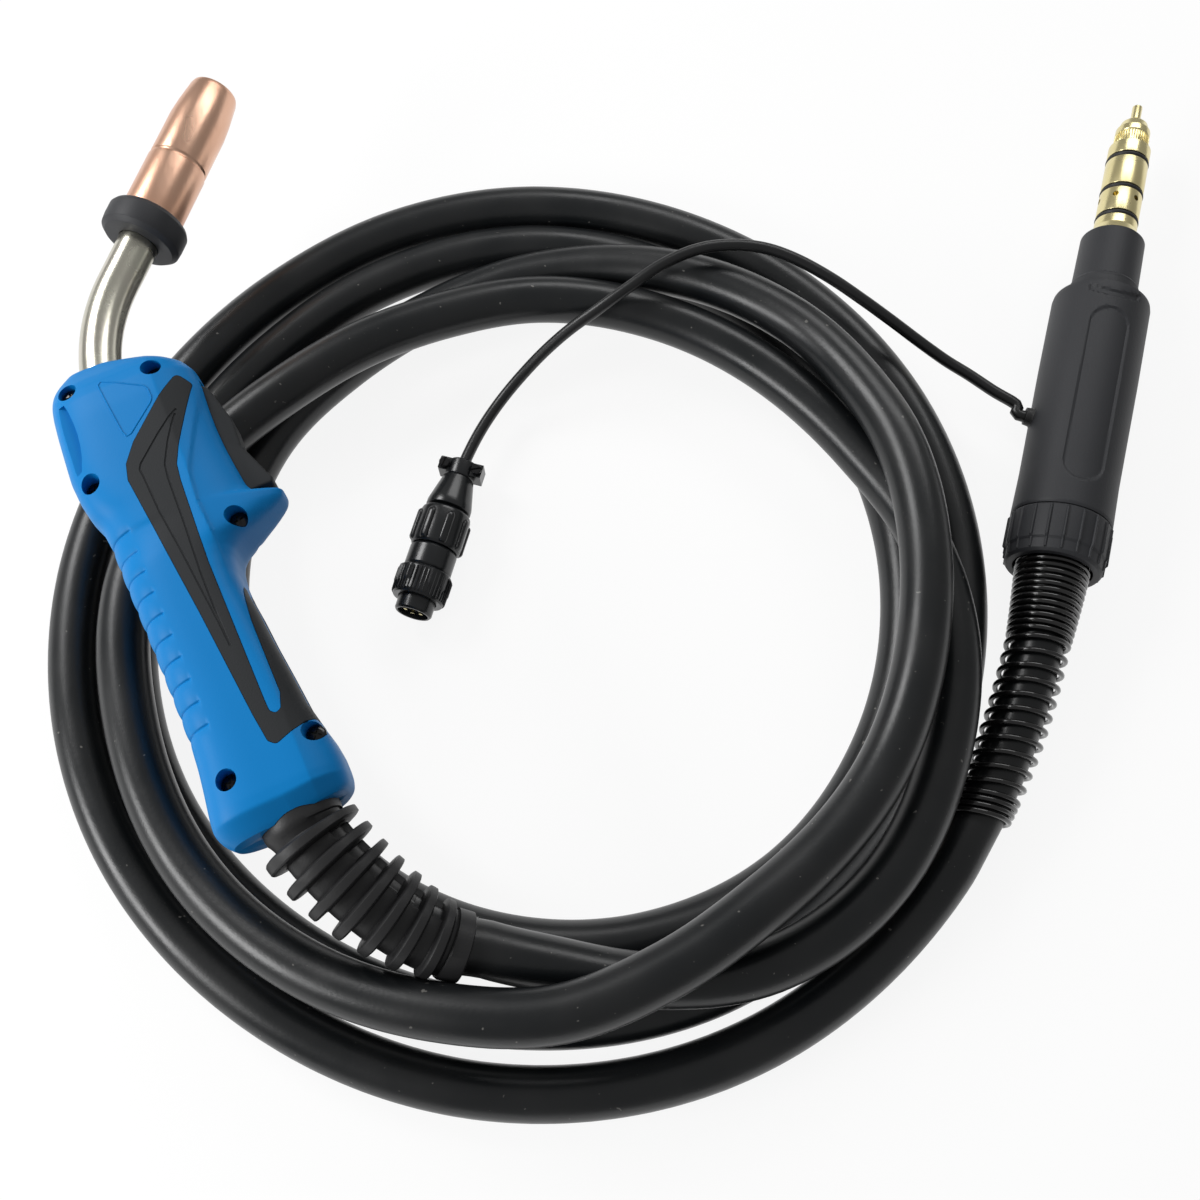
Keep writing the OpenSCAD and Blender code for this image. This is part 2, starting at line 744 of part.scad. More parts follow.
boot_table = [for (i = [0:len(boot_path) - 1])
    [path_length(boot_path, i), boot_path[i][0], boot_path[i][1], boot_path[i][2]]];
function path_length(path, i) = i == 0 ? 0 : path_length(path, i - 1) + norm(path[i] - path[i - 1]);
boot_l = boot_table[len(boot_table) - 1][0];
function boot_point(s) = [smooth(boot_table, s, 1), smooth(boot_table, s, 2), smooth(boot_table, s, 3)];
function boot_dir(s) = unit(boot_point(min(s + 1, boot_l)) - boot_point(max(s - 1, 0)));
first_rib_s = 20.5;
boot_sides = 16;
// Boot's outline as [place along it, diameter]: a collar, the ribs, and the end collar
function rib_s(k) = first_rib_s + k * rib_pitch;
function core_d(s) = boot_core_d - (boot_core_d - boot_end_d + 2.2) * s / boot_l;
boot_outline = concat(
    [[0, boot_collar_d], [first_rib_s - 4.2, boot_collar_d - 0.6], [first_rib_s - 3.4, boot_core_d]],
    flat([for (k = [0:rib_n - 1])
        let (s = rib_s(k), rim = boot_rib_d - k * (boot_rib_d - 25) / rib_n)
        [[s - rib_t / 2, core_d(s)], [s - rib_t / 2 + 0.5, rim], [s + rib_t / 2 - 0.5, rim],
            [s + rib_t / 2, core_d(s)]]]),
    [[boot_l - 6.5, boot_end_d - 0.6], [boot_l - 6, boot_end_d], [boot_l, boot_end_d]]
);
boot_bore_clear = 0.25;
boot_ring_n = 14;
boot_ring_s = [for (i = [0:boot_ring_n]) boot_l * i / boot_ring_n];

module cable_boot() {
    bore_sides = 24;
    color(black)
        at_torch()
            difference() {
                skin([for (o = boot_outline)
                    ring_at(boot_point(o[0]), boot_dir(o[0]), o[1] / 2, boot_sides)]);
                skin([for (i = [0:boot_ring_n])
                    let (s = boot_ring_s[i], past = i == 0 ? -1 : i == boot_ring_n ? 1 : 0)
                    ring_at(boot_point(s) + past * boot_dir(s), boot_dir(s),
                        cable_d / 2 + boot_bore_clear, bore_sides)]);
            }
}

// --- power cable ------------------------------------------------------------------------------

function coil_point(a) =
    let (r = smooth(coil_stations, a, 1))
    [coil_at[0] + r * cos(a), coil_at[1] + r * sin(a), max(smooth(coil_stations, a, 2), cable_d / 2) - coil_drop];
// The six-sided cable lies on its flat side, so its centreline is that much lower
coil_drop = cable_d / 2 * (1 - cos(30));
coil_from = coil_stations[0][0];
coil_to = coil_stations[len(coil_stations) - 1][0];
coil_ring_n = ceil((coil_to - coil_from) / coil_step);
coil_path = [for (i = [0:coil_ring_n]) coil_point(coil_from + (coil_to - coil_from) * i / coil_ring_n)];
coil_first_dir = unit(coil_point(coil_from + 2) - coil_point(coil_from));
coil_last_dir = unit(coil_point(coil_to) - coil_point(coil_to - 2));

module cable_coil() {
    last = len(coil_path) - 1;
    color(black)
        skin([for (i = [0:last])
            ring_at(coil_path[i], i == 0 ? coil_first_dir : i == last ? coil_last_dir : tangent(coil_path, i),
                cable_d / 2, coil_sides)]);
}

// Least gap between the coil's own turns, measured between points on its centreline
gap_step = 6;
gap_points = [for (a = [coil_from:gap_step:coil_to]) coil_point(a)];
coil_gap = min([for (i = [0:len(gap_points) - 1], j = [i + 30:1:len(gap_points) - 1])
    norm(gap_points[i] - gap_points[j])]) - cable_d;
echo("least gap between the coil's turns", coil_gap);

// Inside the boot the cable's rings share the places and directions of the boot's bore
module cable_lead() {
    inner = lead_in_path;
    sides = 12;
    color(black)
        skin(concat(
            [for (i = [0:len(inner) - 1])
                ring_at(in_torch(inner[i]), turned(tangent(inner, i), torch_turn), cable_d / 2, sides, 15)],
            [for (s = boot_ring_s)
                ring_at(in_torch(boot_point(s)), turned(boot_dir(s), torch_turn), cable_d / 2, sides, 15)],
            [ring_at(coil_path[0], coil_first_dir, cable_d / 2, sides, 15)]
        ));
}

function tail_point(s) = in_rear([smooth(tail_stations, s, 1), s, smooth(tail_stations, s, 2)]);
tail_from = tail_stations[0][0];
tail_to = tail_stations[len(tail_stations) - 1][0];
tail_rings = 20;

module cable_tail() {
    path = concat([coil_path[len(coil_path) - 1]],
        [for (i = [1:tail_rings]) tail_point(tail_from + (tail_to - tail_from) * i / tail_rings)]);
    color(black)
        tube(path, [for (p = path) cable_d / 2], 12, first_dir = coil_last_dir, last_dir = unit(in_rear([0, 1, 0]) - rear_at));
}

// --- rear plug --------------------------------------------------------------------------------

crimp_bore_to = tail_to + 0.05;
crimp_to = 84;
crimp_d = 24.8;
crimp_end_d = 18;
crimp_bore_d = 6;
crimp_taper_l = 8;

module rear_crimp() {
    color(brass)
        at_rear()
            turned_y([
                [cable_d / 2 + 0.05, spring_nut_l + 7], [crimp_d / 2, spring_nut_l + 7],
                [crimp_d / 2, crimp_to - crimp_taper_l], [crimp_end_d / 2, crimp_to],
                [crimp_bore_d / 2, crimp_to], [crimp_bore_d / 2, crimp_bore_to],
                [cable_d / 2 + 0.05, crimp_bore_to]
            ]);
}

spigot_d = housing_d - 6;
housing_bore_d = housing_d - 8;

module connector_housing() {
    r = housing_d / 2;
    from = housing_s;
    to = from + housing_l;
    spigot_from = from - 11;
    color(grey)
        at_rear()
            difference() {
                turned_y([
                    [cable_d / 2 + 0.6, spigot_from], [spigot_d / 2, spigot_from], [spigot_d / 2, from],
                    [r - 0.6, from], [r - 0.2, from + 1], [r - 0.5, from + 20], [r, from + 70],
                    [r, to - 2], [r - 1.5, to], [sleeve_d / 2 + 1.6, to], [sleeve_d / 2 + 1.2, to + 6],
                    [pin_root_d / 2 + 0.05, to + 6], [pin_root_d / 2 + 0.05, to - 4], [housing_bore_d / 2, to - 8],
                    [housing_bore_d / 2, spigot_from + 5], [cable_d / 2 + 0.6, spigot_from + 4]
                ]);
                translate([-r - 1, lead_exit_s, 0])
                    rotate([0, 90, 0])
                        cylinder(d = grommet_d + 0.1, h = 8);
                for (side = [0, 180])
                    rotate([0, side, 0])
                        translate([0, 0, r - 1])
                            panel_recess();
            }
}
grommet_d = 9;

// Long shallow recess with round ends in the housing's face
module panel_recess() {
    linear_extrude(height = 4)
        hull()
            for (y = [housing_s + 16, housing_s + housing_l - 22])
                translate([0, y])
                    circle(d = 17);
}

module connector_sleeve() {
    r = sleeve_d / 2;
    color(grey)
        at_rear()
            turned_y([
                [pin_root_d / 2 + 0.05, sleeve_s], [r + 0.7, sleeve_s], [r + 0.7, sleeve_s + 1.4],
                [r, sleeve_s + 2.4], [r - 0.3, pin_s - 1], [r - 1.2, pin_s], [pin_root_d / 2 + 0.05, pin_s]
            ]);
}

module rear_pin() {
    r = pin_d / 2;
    bore = liner_tube_d / 2 + 0.1;
    groove = r - o_ring_t + 0.15;
    w = ring_groove_w / 2;
    color(brass)
        at_rear()
            difference() {
                turned_y(concat(
                    [[bore, crimp_to + 0.05], [pin_root_d / 2, crimp_to + 0.05],
                        [pin_root_d / 2, pin_s + 0.1], [r + 1.5, pin_s + 0.1],
                        [r + 1.5, pin_s + 1.6], [r, pin_s + 5.5]],
                    flat([for (s = o_ring_at)
                        [[r, pin_s + s - w], [groove, pin_s + s - w], [groove, pin_s + s + w],
                            [r, pin_s + s + w]]]),
                    [[r, pin_s + pin_l - 1], [r - 1, pin_s + pin_l], [bore, pin_s + pin_l]]
                ));
                for (a = [30:60:330])
                    translate([0, pin_s + gas_hole_at, 0])
                        rotate([0, a, 0])
                            cylinder(d = 2.6, h = pin_d, $fn = 24);
            }
}

module o_rings() {
    color("#151515")
        at_rear()
            for (s = o_ring_at)
                translate([0, pin_s + s, 0])
                    rotate([-90, 0, 0])
                        rotate_extrude()
                            translate([pin_d / 2 - o_ring_t / 2 + 0.18, 0])
                                circle(d = o_ring_t, $fn = 24);
}

knurl_n = 24;

module liner_nut() {
    r = liner_nut_d / 2;
    from = liner_nut_s;
    to = from + liner_nut_l;
    color(brass)
        at_rear()
            difference() {
                turned_y([
                    [liner_tube_d / 2 + slide_gap, from], [r, from], [r, from + liner_nut_l * 0.62],
                    [r - 0.8, from + liner_nut_l * 0.66], [r - 1.6, to - 2], [r - 3.4, to],
                    [liner_tube_d / 2 + slide_gap, to]
                ]);
                for (k = [0:knurl_n - 1])
                    rotate([0, k * 360 / knurl_n, 0])
                        translate([r + 0.35, 0, 0])
                            rod_y(1.3, from + 1.6, from + 6, $fn = 24);
            }
}

module liner_tube() {
    color(brass)
        at_rear()
            difference() {
                rod_y(liner_tube_d, liner_nut_s - 9, liner_nut_s + liner_nut_l + 9.5);
                rod_y(liner_tube_d - 1.8, liner_nut_s - 10, liner_nut_s + liner_nut_l + 11);
            }
}

nut_rib_n = 18;

module spring_nut() {
    r = spring_nut_d / 2;
    spring_room = spring_cone_od / 2 + 0.5;
    color(grey)
        at_rear()
            difference() {
                turned_y([
                    [spring_room, 0], [r - 2.2, 0], [r - 1.4, 1.4], [r - 1.4, 5.4], [r, 6.2],
                    [r, spring_nut_l - 1], [r - 0.8, spring_nut_l], [spigot_d / 2 + slide_gap, spring_nut_l],
                    [spigot_d / 2 + slide_gap, housing_s - 11 - slide_gap], [spring_room, spring_start_s + 2.6]
                ]);
                for (k = [0:nut_rib_n - 1])
                    rotate([0, (k + 0.5) * 360 / nut_rib_n, 0])
                        translate([r + 5.3, 0, 0])
                            rod_y(12, 6.4, spring_nut_l - 1.2);
            }
}

// Place along the axis and radius of the support spring's wire after t turns
function spring_s(t) = spring_start_s - spring_wire_d / 2 - (
    t < cone_turns ? t * closed_pitch
    : t < cone_turns + open_turns ? cone_turns * closed_pitch + (t - cone_turns) * spring_open_pitch
    : cone_turns * closed_pitch + open_turns * spring_open_pitch
        + (t - cone_turns - open_turns) * closed_pitch);
spring_open_pitch = open_pitch;
function spring_r(t) =
    (t < cone_turns ? spring_cone_od - (spring_cone_od - spring_od) * t / cone_turns : spring_od) / 2
    - spring_wire_d / 2;
function spring_point(t) =
    let (s = spring_s(t), r = spring_r(t))
    in_rear([
        (s < 0 ? smooth(tail_stations, s, 1) : 0) + r * cos(360 * t), s,
        (s < 0 ? smooth(tail_stations, s, 2) : 0) + r * sin(360 * t)
    ]);
spring_rings = ceil(spring_turns * curl_rings);
spring_path = [for (i = [0:spring_rings]) spring_point(i * spring_turns / spring_rings)];
spring_gap = closed_pitch - spring_wire_d;
echo("least gap between the support spring's curls", spring_gap);

module support_spring() {
    axis = unit(in_rear([0, 1, 0]) - rear_at);
    color("#0c0c0c")
        skin([for (i = [0:spring_rings])
            let (
                t = tangent(spring_path, i),
                s = unit(cross(t, axis)),
                u = cross(s, t)
            )
            [for (k = [0:5]) spring_path[i] + spring_wire_d / 2 * (cos(60 * k) * s + sin(60 * k) * u)]]);
}

module lead_grommet() {
    r = housing_d / 2;
    color(black)
        at_rear()
            translate([-r + 4.6, lead_exit_s, 0])
                rotate([0, -90, 0])
                    difference() {
                        union() {
                            cylinder(d = grommet_d, h = 4.2);
                            cylinder(d1 = grommet_d - 1, d2 = lead_d + 2.4, h = 7);
                        }
                        translate([0, 0, -1])
                            cylinder(d = lead_d + 0.1, h = 12);
                    }
}

// --- control lead and plug --------------------------------------------------------------------

module control_lead() {
    start = in_rear([-housing_d / 2 + 5, lead_exit_s, 0]);
    end = plug_at;
    into = unit(turned([0, 1, 0], plug_turn));
    path = concat([start], [in_rear([-housing_d / 2 - 6, lead_exit_s, 0])],
        [for (i = [1:len(lead_route) - 1]) lead_route[i]], [end + 3 * into]);
    color(black)
        tube(path, [for (p = path) lead_d / 2], 8, first_dir = unit(in_rear([-1, 0, 0]) - rear_at),
            last_dir = into);
}

// Places along the plug's axis, from its clamp to its nose
clamp_l = 8;
backshell_to = 24;
back_nut_to = 42;
shoulder_s = 52;
coupling_to = 65;
nose_to = 71;

module plug_clamp() {
    color(black)
        at_plug()
            difference() {
                union() {
                    rod_y(12.5, 0.5, clamp_l);
                    for (side = [-1, 1])
                        translate([side * 6.4 - 3, 1, -4.2])
                            cube([6, clamp_l - 2, 8.4]);
                }
                rod_y(lead_d + 0.4, -1, clamp_l + 1);
                for (side = [-1, 1])
                    translate([side * 7, clamp_l / 2, -6])
                        cylinder(d = 2.6, h = 12, $fn = 24);
            }
}

module plug_clamp_screws() {
    color("#3c3c3c")
        at_plug()
            for (side = [-1, 1])
                translate([side * 7, clamp_l / 2, -4])
                    difference() {
                        union() {
                            cylinder(d = 2.5, h = 8.3, $fn = 24);
                            translate([0, 0, 8.25])
                                cylinder(d = 4.6, h = 1.7, $fn = 24);
                        }
                        translate([-3, -0.4, 9.2])
                            cube([6, 0.8, 2]);
                    }
}

module plug_backshell() {
    bore = lead_d / 2 + 0.2;
    color(black)
        at_plug()
            turned_y([
                [bore, clamp_l + 0.05], [6.6, clamp_l + 0.05], [plug_d / 2 - 0.6, 20],
                [plug_d / 2 - 0.4, backshell_to - 1], [plug_d / 2 - 2.5, backshell_to],
                [plug_d / 2 - 2.5, back_nut_to - 3], [bore, back_nut_to - 3]
            ]);
}

back_rib_n = 12;

module plug_back_nut() {
    r = back_nut_d / 2;
    bore = plug_d / 2 - 2.5 + slide_gap;
    from = backshell_to + slide_gap;
    color(black)
        at_plug()
            difference() {
                turned_y([
                    [bore, from], [r - 1.6, from], [r, from + 2.5], [r, back_nut_to - 4],
                    [r - 1.8, back_nut_to - slide_gap], [bore, back_nut_to - slide_gap]
                ]);
                for (k = [0:back_rib_n - 1])
                    rotate([0, k * 360 / back_rib_n, 0])
                        translate([r + 0.9, 0, 0])
                            rod_y(3.6, from + 3, back_nut_to - 3, $fn = 24);
            }
}

module plug_barrel() {
    r = plug_d / 2;
    nose = plug_nose_d / 2;
    color("#1a1a1a")
        at_plug()
            turned_y([
                [0, back_nut_to - 2.9], [r - 2.9, back_nut_to - 2.9], [r - 2.9, back_nut_to],
                [r - 0.6, back_nut_to], [r, back_nut_to + 1], [r, shoulder_s - 1], [r - 0.6, shoulder_s],
                [nose, shoulder_s], [nose, nose_to - 0.8], [nose - 0.6, nose_to],
                [nose - 1.4, nose_to], [nose - 1.4, nose_to - 8], [0, nose_to - 8]
            ]);
}

coupling_knurl_n = 30;

module plug_coupling_ring() {
    r = coupling_d / 2;
    bore = plug_nose_d / 2 + slide_gap;
    from = shoulder_s + slide_gap;
    color(black)
        at_plug()
            difference() {
                union() {
                    turned_y([
                        [bore, from], [r - 1.2, from], [r - 0.6, from + 0.8], [r - 0.6, coupling_to - 1],
                        [r - 1.4, coupling_to], [bore, coupling_to]
                    ]);
                    for (a = [45:90:315])
                        rotate([0, a, 0])
                            translate([r - 1.9, 0, 0])
                                rod_y(3.8, from + 0.8, coupling_to - 5);
                }
                for (k = [0:coupling_knurl_n - 1])
                    rotate([0, k * 360 / coupling_knurl_n, 0])
                        translate([r - 0.1, 0, 0])
                            rod_y(1.3, from - 1, coupling_to + 1, $fn = 16);
            }
}

pin_ring_d = 7;

module plug_insert() {
    color(grey)
        at_plug()
            difference() {
                rod_y(plug_nose_d - 2.9, nose_to - 7.9, nose_to - 3);
                for (a = [0:72:288])
                    rotate([0, a, 0])
                        translate([pin_ring_d / 2, 0, 0])
                            rod_y(1.7, nose_to - 9, nose_to);
            }
}

module plug_pins() {
    color(brass)
        at_plug()
            for (a = [0:72:288])
                rotate([0, a, 0])
                    translate([pin_ring_d / 2, 0, 0])
                        rod_y(1.6, nose_to - 7.8, nose_to - 1.2);
}

gas_nozzle();
contact_tip();
gas_diffuser();
nozzle_insulator();
swan_neck();
neck_conductor();
handle_upper();
handle_lower();
grip_inlay_upper();
grip_inlay_lower();
trigger_lever();
trigger_pin();
micro_switch();
switch_plunger();
handle_screws();
torch_body();
clamp_screw();
cable_terminal();
cable_boot();
cable_lead();
cable_coil();
cable_tail();
rear_crimp();
connector_housing();
connector_sleeve();
rear_pin();
o_rings();
liner_nut();
liner_tube();
spring_nut();
support_spring();
lead_grommet();
control_lead();
plug_clamp();
plug_clamp_screws();
plug_backshell();
plug_back_nut();
plug_barrel();
plug_coupling_ring();
plug_insert();
plug_pins();
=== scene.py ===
import json
import math

import bmesh
import bpy
import numpy as np
from mathutils import Matrix, Vector


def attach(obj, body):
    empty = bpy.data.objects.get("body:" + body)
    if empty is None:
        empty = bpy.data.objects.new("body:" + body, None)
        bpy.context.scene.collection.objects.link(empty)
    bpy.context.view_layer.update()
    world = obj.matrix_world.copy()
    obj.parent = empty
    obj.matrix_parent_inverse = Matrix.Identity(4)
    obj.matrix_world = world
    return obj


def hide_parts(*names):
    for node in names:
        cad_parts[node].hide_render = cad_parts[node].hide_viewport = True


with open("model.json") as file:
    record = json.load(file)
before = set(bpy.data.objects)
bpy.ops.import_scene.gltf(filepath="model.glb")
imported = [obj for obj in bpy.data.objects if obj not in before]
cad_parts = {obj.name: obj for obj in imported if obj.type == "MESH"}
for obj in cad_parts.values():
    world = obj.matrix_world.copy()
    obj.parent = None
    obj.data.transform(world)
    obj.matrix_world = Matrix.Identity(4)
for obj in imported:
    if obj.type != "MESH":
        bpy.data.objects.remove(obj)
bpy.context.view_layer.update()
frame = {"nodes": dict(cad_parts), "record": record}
print("frame loaded")

mm = 0.001


def placed(at, turn):
    return Matrix.Translation(Vector(at)) @ Matrix.Rotation(math.radians(turn), 4, "Z")


neckBend = 42.0
neckBendR = 80.0
neckX = -11.5
neckBendY = 181.8
frontOrigin = (
    neckX + neckBendR * (1 - math.cos(math.radians(neckBend))),
    neckBendY + neckBendR * math.sin(math.radians(neckBend)),
    0.0,
)
torchPlace = placed((-124.0, -143.5, 63.0), 25.0)
frontPlace = torchPlace @ placed(frontOrigin, -neckBend)
rearPlace = placed((164.0, -35.0, 21.0), -16.3)
plugPlace = placed((-78.0, 18.0, 12.2), 164.7)


# finishes


def srgb(r, g, b):
    def channel(v):
        v = v / 255
        return v / 12.92 if v <= 0.04045 else ((v + 0.055) / 1.055) ** 2.4

    return (channel(r), channel(g), channel(b), 1.0)


def setInputs(node, **values):
    # values by input name, with an underscore for each space
    for label, value in values.items():
        node.inputs[label.replace("_", " ")].default_value = value


def paint(name, color, roughness, metallic=0.0, other=None, mottle=20.0, share=0.5, grain=0.0,
          grainScale=900.0, specular=0.5, stretch=(1.0, 1.0, 1.0), coat=0.0, roughSpread=0.0, specks=None):
    # a finish with a slow change of colour and a fine surface grain, both in object space
    material = bpy.data.materials.new(name)
    material.use_nodes = True
    nodes, links = material.node_tree.nodes, material.node_tree.links
    shader = nodes["Principled BSDF"]
    setInputs(shader, Base_Color=color, Roughness=roughness, Metallic=metallic,
              Specular_IOR_Level=specular, Coat_Weight=coat)

    def noise(vector, scale, detail):
        made = nodes.new("ShaderNodeTexNoise")
        setInputs(made, Scale=scale, Detail=detail)
        links.new(vector, made.inputs["Vector"])
        return made.outputs["Fac"]

    def ranged(value, **limits):
        made = nodes.new("ShaderNodeMapRange")
        setInputs(made, **limits)
        links.new(value, made.inputs["Value"])
        return made.outputs["Result"]

    def mixed(amount, first, second):
        made = nodes.new("ShaderNodeMix")
        made.data_type = "RGBA"
        links.new(amount, made.inputs[0])
        made.inputs[6].default_value = color
        made.inputs[7].default_value = second
        if first:
            links.new(first, made.inputs[6])
        return made.outputs[2]

    where = nodes.new("ShaderNodeTexCoord")
    mapping = nodes.new("ShaderNodeMapping")
    setInputs(mapping, Scale=stretch)
    links.new(where.outputs["Object"], mapping.inputs["Vector"])
    place = mapping.outputs["Vector"]
    shade = None
    if other or roughSpread:
        slow = noise(place, mottle, 4.0)
    if other:
        shade = mixed(ranged(slow, From_Min=0.35, From_Max=0.65, To_Max=share), None, other)
    if specks:
        # the odd pale speck of dust and rub on dark rubber
        dots = ranged(noise(where.outputs["Object"], 420.0, 1.0), From_Min=0.76, From_Max=0.8, To_Max=0.6)
        shade = mixed(dots, shade, specks)
    if shade:
        links.new(shade, shader.inputs["Base Color"])
    if roughSpread:
        links.new(ranged(slow, From_Min=0.3, From_Max=0.7, To_Min=roughness - roughSpread,
                         To_Max=roughness + roughSpread), shader.inputs["Roughness"])
    if grain:
        bump = nodes.new("ShaderNodeBump")
        setInputs(bump, Strength=grain, Distance=0.0002)
        links.new(noise(place, grainScale, 2.0), bump.inputs["Height"])
        links.new(bump.outputs["Normal"], shader.inputs["Normal"])
    return material


finishOfSlot = {
    "blue_plastic": paint("bluePlastic", srgb(2, 118, 187), 0.45, other=srgb(4, 124, 194), mottle=12.0,
                          grain=0.2, grainScale=1500.0, specular=0.16),
    "soft_grip": paint("softGrip", srgb(41, 43, 45), 0.6, grain=0.3, grainScale=1800.0, specular=0.2),
    "dark_plastic": paint("darkPlastic", srgb(46, 47, 50), 0.52, grain=0.3, grainScale=1500.0, specular=0.35),
    "black_rubber": paint("blackRubber", srgb(34, 34, 35), 0.46, grain=0.25, specular=0.4),
    "cable_rubber": paint("cableRubber", srgb(15, 18, 20), 0.33, other=srgb(25, 26, 27), mottle=35.0,
                          share=0.7, grain=0.2, grainScale=700.0, roughSpread=0.05, specks=srgb(120, 118, 114)),
    "lead_rubber": paint("leadRubber", srgb(18, 19, 20), 0.36, other=srgb(26, 26, 27), mottle=60.0,
                         grain=0.15),
    "black_screw": paint("blackScrew", srgb(12, 12, 13), 0.22, other=srgb(26, 26, 28), mottle=300.0,
                         metallic=0.2, specular=0.6),
    "black_spring": paint("blackSpring", srgb(12, 12, 13), 0.2, other=srgb(24, 22, 21), mottle=90.0,
                          specular=0.6, coat=0.4),
    "gloss_black": paint("glossBlack", srgb(20, 22, 24), 0.26, other=srgb(30, 32, 34), mottle=80.0,
                         specular=0.55, grain=0.1),
    "copper": paint("copperMetal", srgb(232, 190, 164), 0.32, metallic=1.0, other=srgb(212, 160, 132),
                    mottle=45.0,
                    share=0.8, grain=0.3, grainScale=500.0, stretch=(1.0, 0.35, 1.0), roughSpread=0.08),
    "bright_steel": paint("steelMetal", srgb(214, 208, 196), 0.26, metallic=1.0, other=srgb(182, 186, 168),
                          mottle=30.0, share=0.6, grain=0.12, roughSpread=0.06),
    "brass": paint("brassMetal", srgb(236, 224, 172), 0.28, metallic=1.0, other=srgb(218, 202, 144),
                   mottle=50.0, grain=0.1, roughSpread=0.05),
    "red_plastic": paint("redPlastic", srgb(176, 58, 46), 0.45, other=srgb(160, 50, 40), mottle=60.0),
}
slotOfNode = {s["node"]: s["material_slot"] for s in frame["record"]["subparts"]}
bodyOfNode = {n: b for b, nodes in frame["record"]["behaviour"]["bodies"].items() for n in nodes}

# shapes, all in millimetres


def workOn(mesh, *steps):
    work = bmesh.new()
    work.from_mesh(mesh)
    for step in steps:
        step(work)
    work.to_mesh(mesh)
    work.free()


def merge(work):
    bmesh.ops.remove_doubles(work, verts=work.verts, dist=0.000002)


def pointOutwards(work):
    bmesh.ops.recalc_face_normals(work, faces=work.faces)


def intoTriangles(work):
    bmesh.ops.triangulate(work, faces=work.faces)


def helperObject(name, points, faces, place=None):
    # a mesh object from points in millimetres
    mesh = bpy.data.meshes.new(name)
    at = place or Matrix.Identity(4)
    mesh.from_pydata([tuple((at @ Vector(p)) * mm) for p in points], [], faces)
    workOn(mesh, merge, pointOutwards)
    made = bpy.data.objects.new(name, mesh)
    bpy.context.scene.collection.objects.link(made)
    return made


def makePiece(name, points, faces, node, place=None, flatAngle=35.0, others=()):
    # a piece of the object; it stands for its CAD node and those in others
    piece = helperObject(name, points, faces, place)
    finish(piece, node, flatAngle, others)
    return piece


def finish(piece, node, flatAngle=35.0, others=()):
    piece.data.materials.clear()
    piece.data.materials.append(finishOfSlot[slotOfNode[node]])
    for polygon in piece.data.polygons:
        polygon.material_index = 0
    smooth(piece, flatAngle)
    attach(piece, bodyOfNode[node])
    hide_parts(node, *others)


def smooth(piece, flatAngle):
    piece.data.shade_smooth()
    piece.data.set_sharp_from_angle(angle=math.radians(flatAngle))


def softened(profile, radius, steps=3):
    # a closed outline with its corners rounded, each by no more than a little under half its edges
    out = []
    count = len(profile)
    for i in range(count):
        p, q, r = (np.array(profile[(i + k) % count], float) for k in (-1, 0, 1))
        a, b = p - q, r - q
        la, lb = np.linalg.norm(a), np.linalg.norm(b)
        if la < 1e-6 or lb < 1e-6:
            out.append(tuple(q))
            continue
        turn = math.acos(max(-1, min(1, float(a @ b) / la / lb)))
        if turn > math.radians(165) or q[0] <= 1e-6:
            out.append(tuple(q))
            continue
        cut = min(radius / math.tan(turn / 2), 0.42 * la, 0.42 * lb)
        start, end = q + a / la * cut, q + b / lb * cut
        for k in range(steps + 1):
            t = k / steps
            out.append(tuple((1 - t) ** 2 * start + 2 * t * (1 - t) * q + t * t * end))
    return out


def quads(rows, row, closed=False):
    # quads between rows of points, where each row is a closed ring; closed joins the last row to the first
    return [(i * row + k, i * row + (k + 1) % row, (i + 1) % rows * row + (k + 1) % row,
             (i + 1) % rows * row + k)
            for i in range(rows if closed else rows - 1) for k in range(row)]


def capped(rows, row):
    return quads(rows, row) + [tuple(range(row)), tuple((rows - 1) * row + k for k in reversed(range(row)))]


def anglesOf(sides):
    return [2 * math.pi * k / sides for k in range(sides)]


def lathe(name, profile, node, place, sides=96, shape=None, soft=0.25, flatAngle=35.0, others=()):
    # a body turned about +Y from a closed [radius, place] outline; shape changes a radius by its angle
    outline = softened(profile, soft) if soft else list(profile)
    count = len(outline)
    points = []
    for a in anglesOf(sides):
        for r, s in outline:
            radius = shape(r, s, a) if shape else r
            points.append((radius * math.cos(a), s, radius * math.sin(a)))
    faces = [f for f in quads(sides, count, True)
             if max(outline[f[0] % count][0], outline[f[1] % count][0]) > 1e-6]
    return makePiece(name, points, faces, node, place, flatAngle, others)


def ringFrames(path):
    # directions square to a path at each of its points, kept level with the bench
    path = np.array(path, float)
    ahead = np.vstack([path[1:], path[-1:]]) - np.vstack([path[:1], path[:-1]])
    ahead /= np.linalg.norm(ahead, axis=1)[:, None]
    side = np.cross(ahead, (0, 0, 1))
    side /= np.linalg.norm(side, axis=1)[:, None]
    return path, side, np.cross(side, ahead)


def tubeMesh(path, radius, sides=24):
    # a closed tube along a path; radius is a number or a function of the ring's index and its angle
    path, side, up = ringFrames(path)
    points = [tuple(path[i] + (radius(i, a) if callable(radius) else radius)
                    * (math.cos(a) * side[i] + math.sin(a) * up[i]))
              for i in range(len(path)) for a in anglesOf(sides)]
    return points, capped(len(path), sides)


def sweep(name, path, radius, node, place=None, sides=32, flatAngle=60.0, others=()):
    return makePiece(name, *tubeMesh(path, radius, sides), node, place, flatAngle, others)


def slopeOf(table, j, k):
    a, b = max(j - 1, 0), min(j + 1, len(table) - 1)
    return (table[b][k] - table[a][k]) / (table[b][0] - table[a][0])


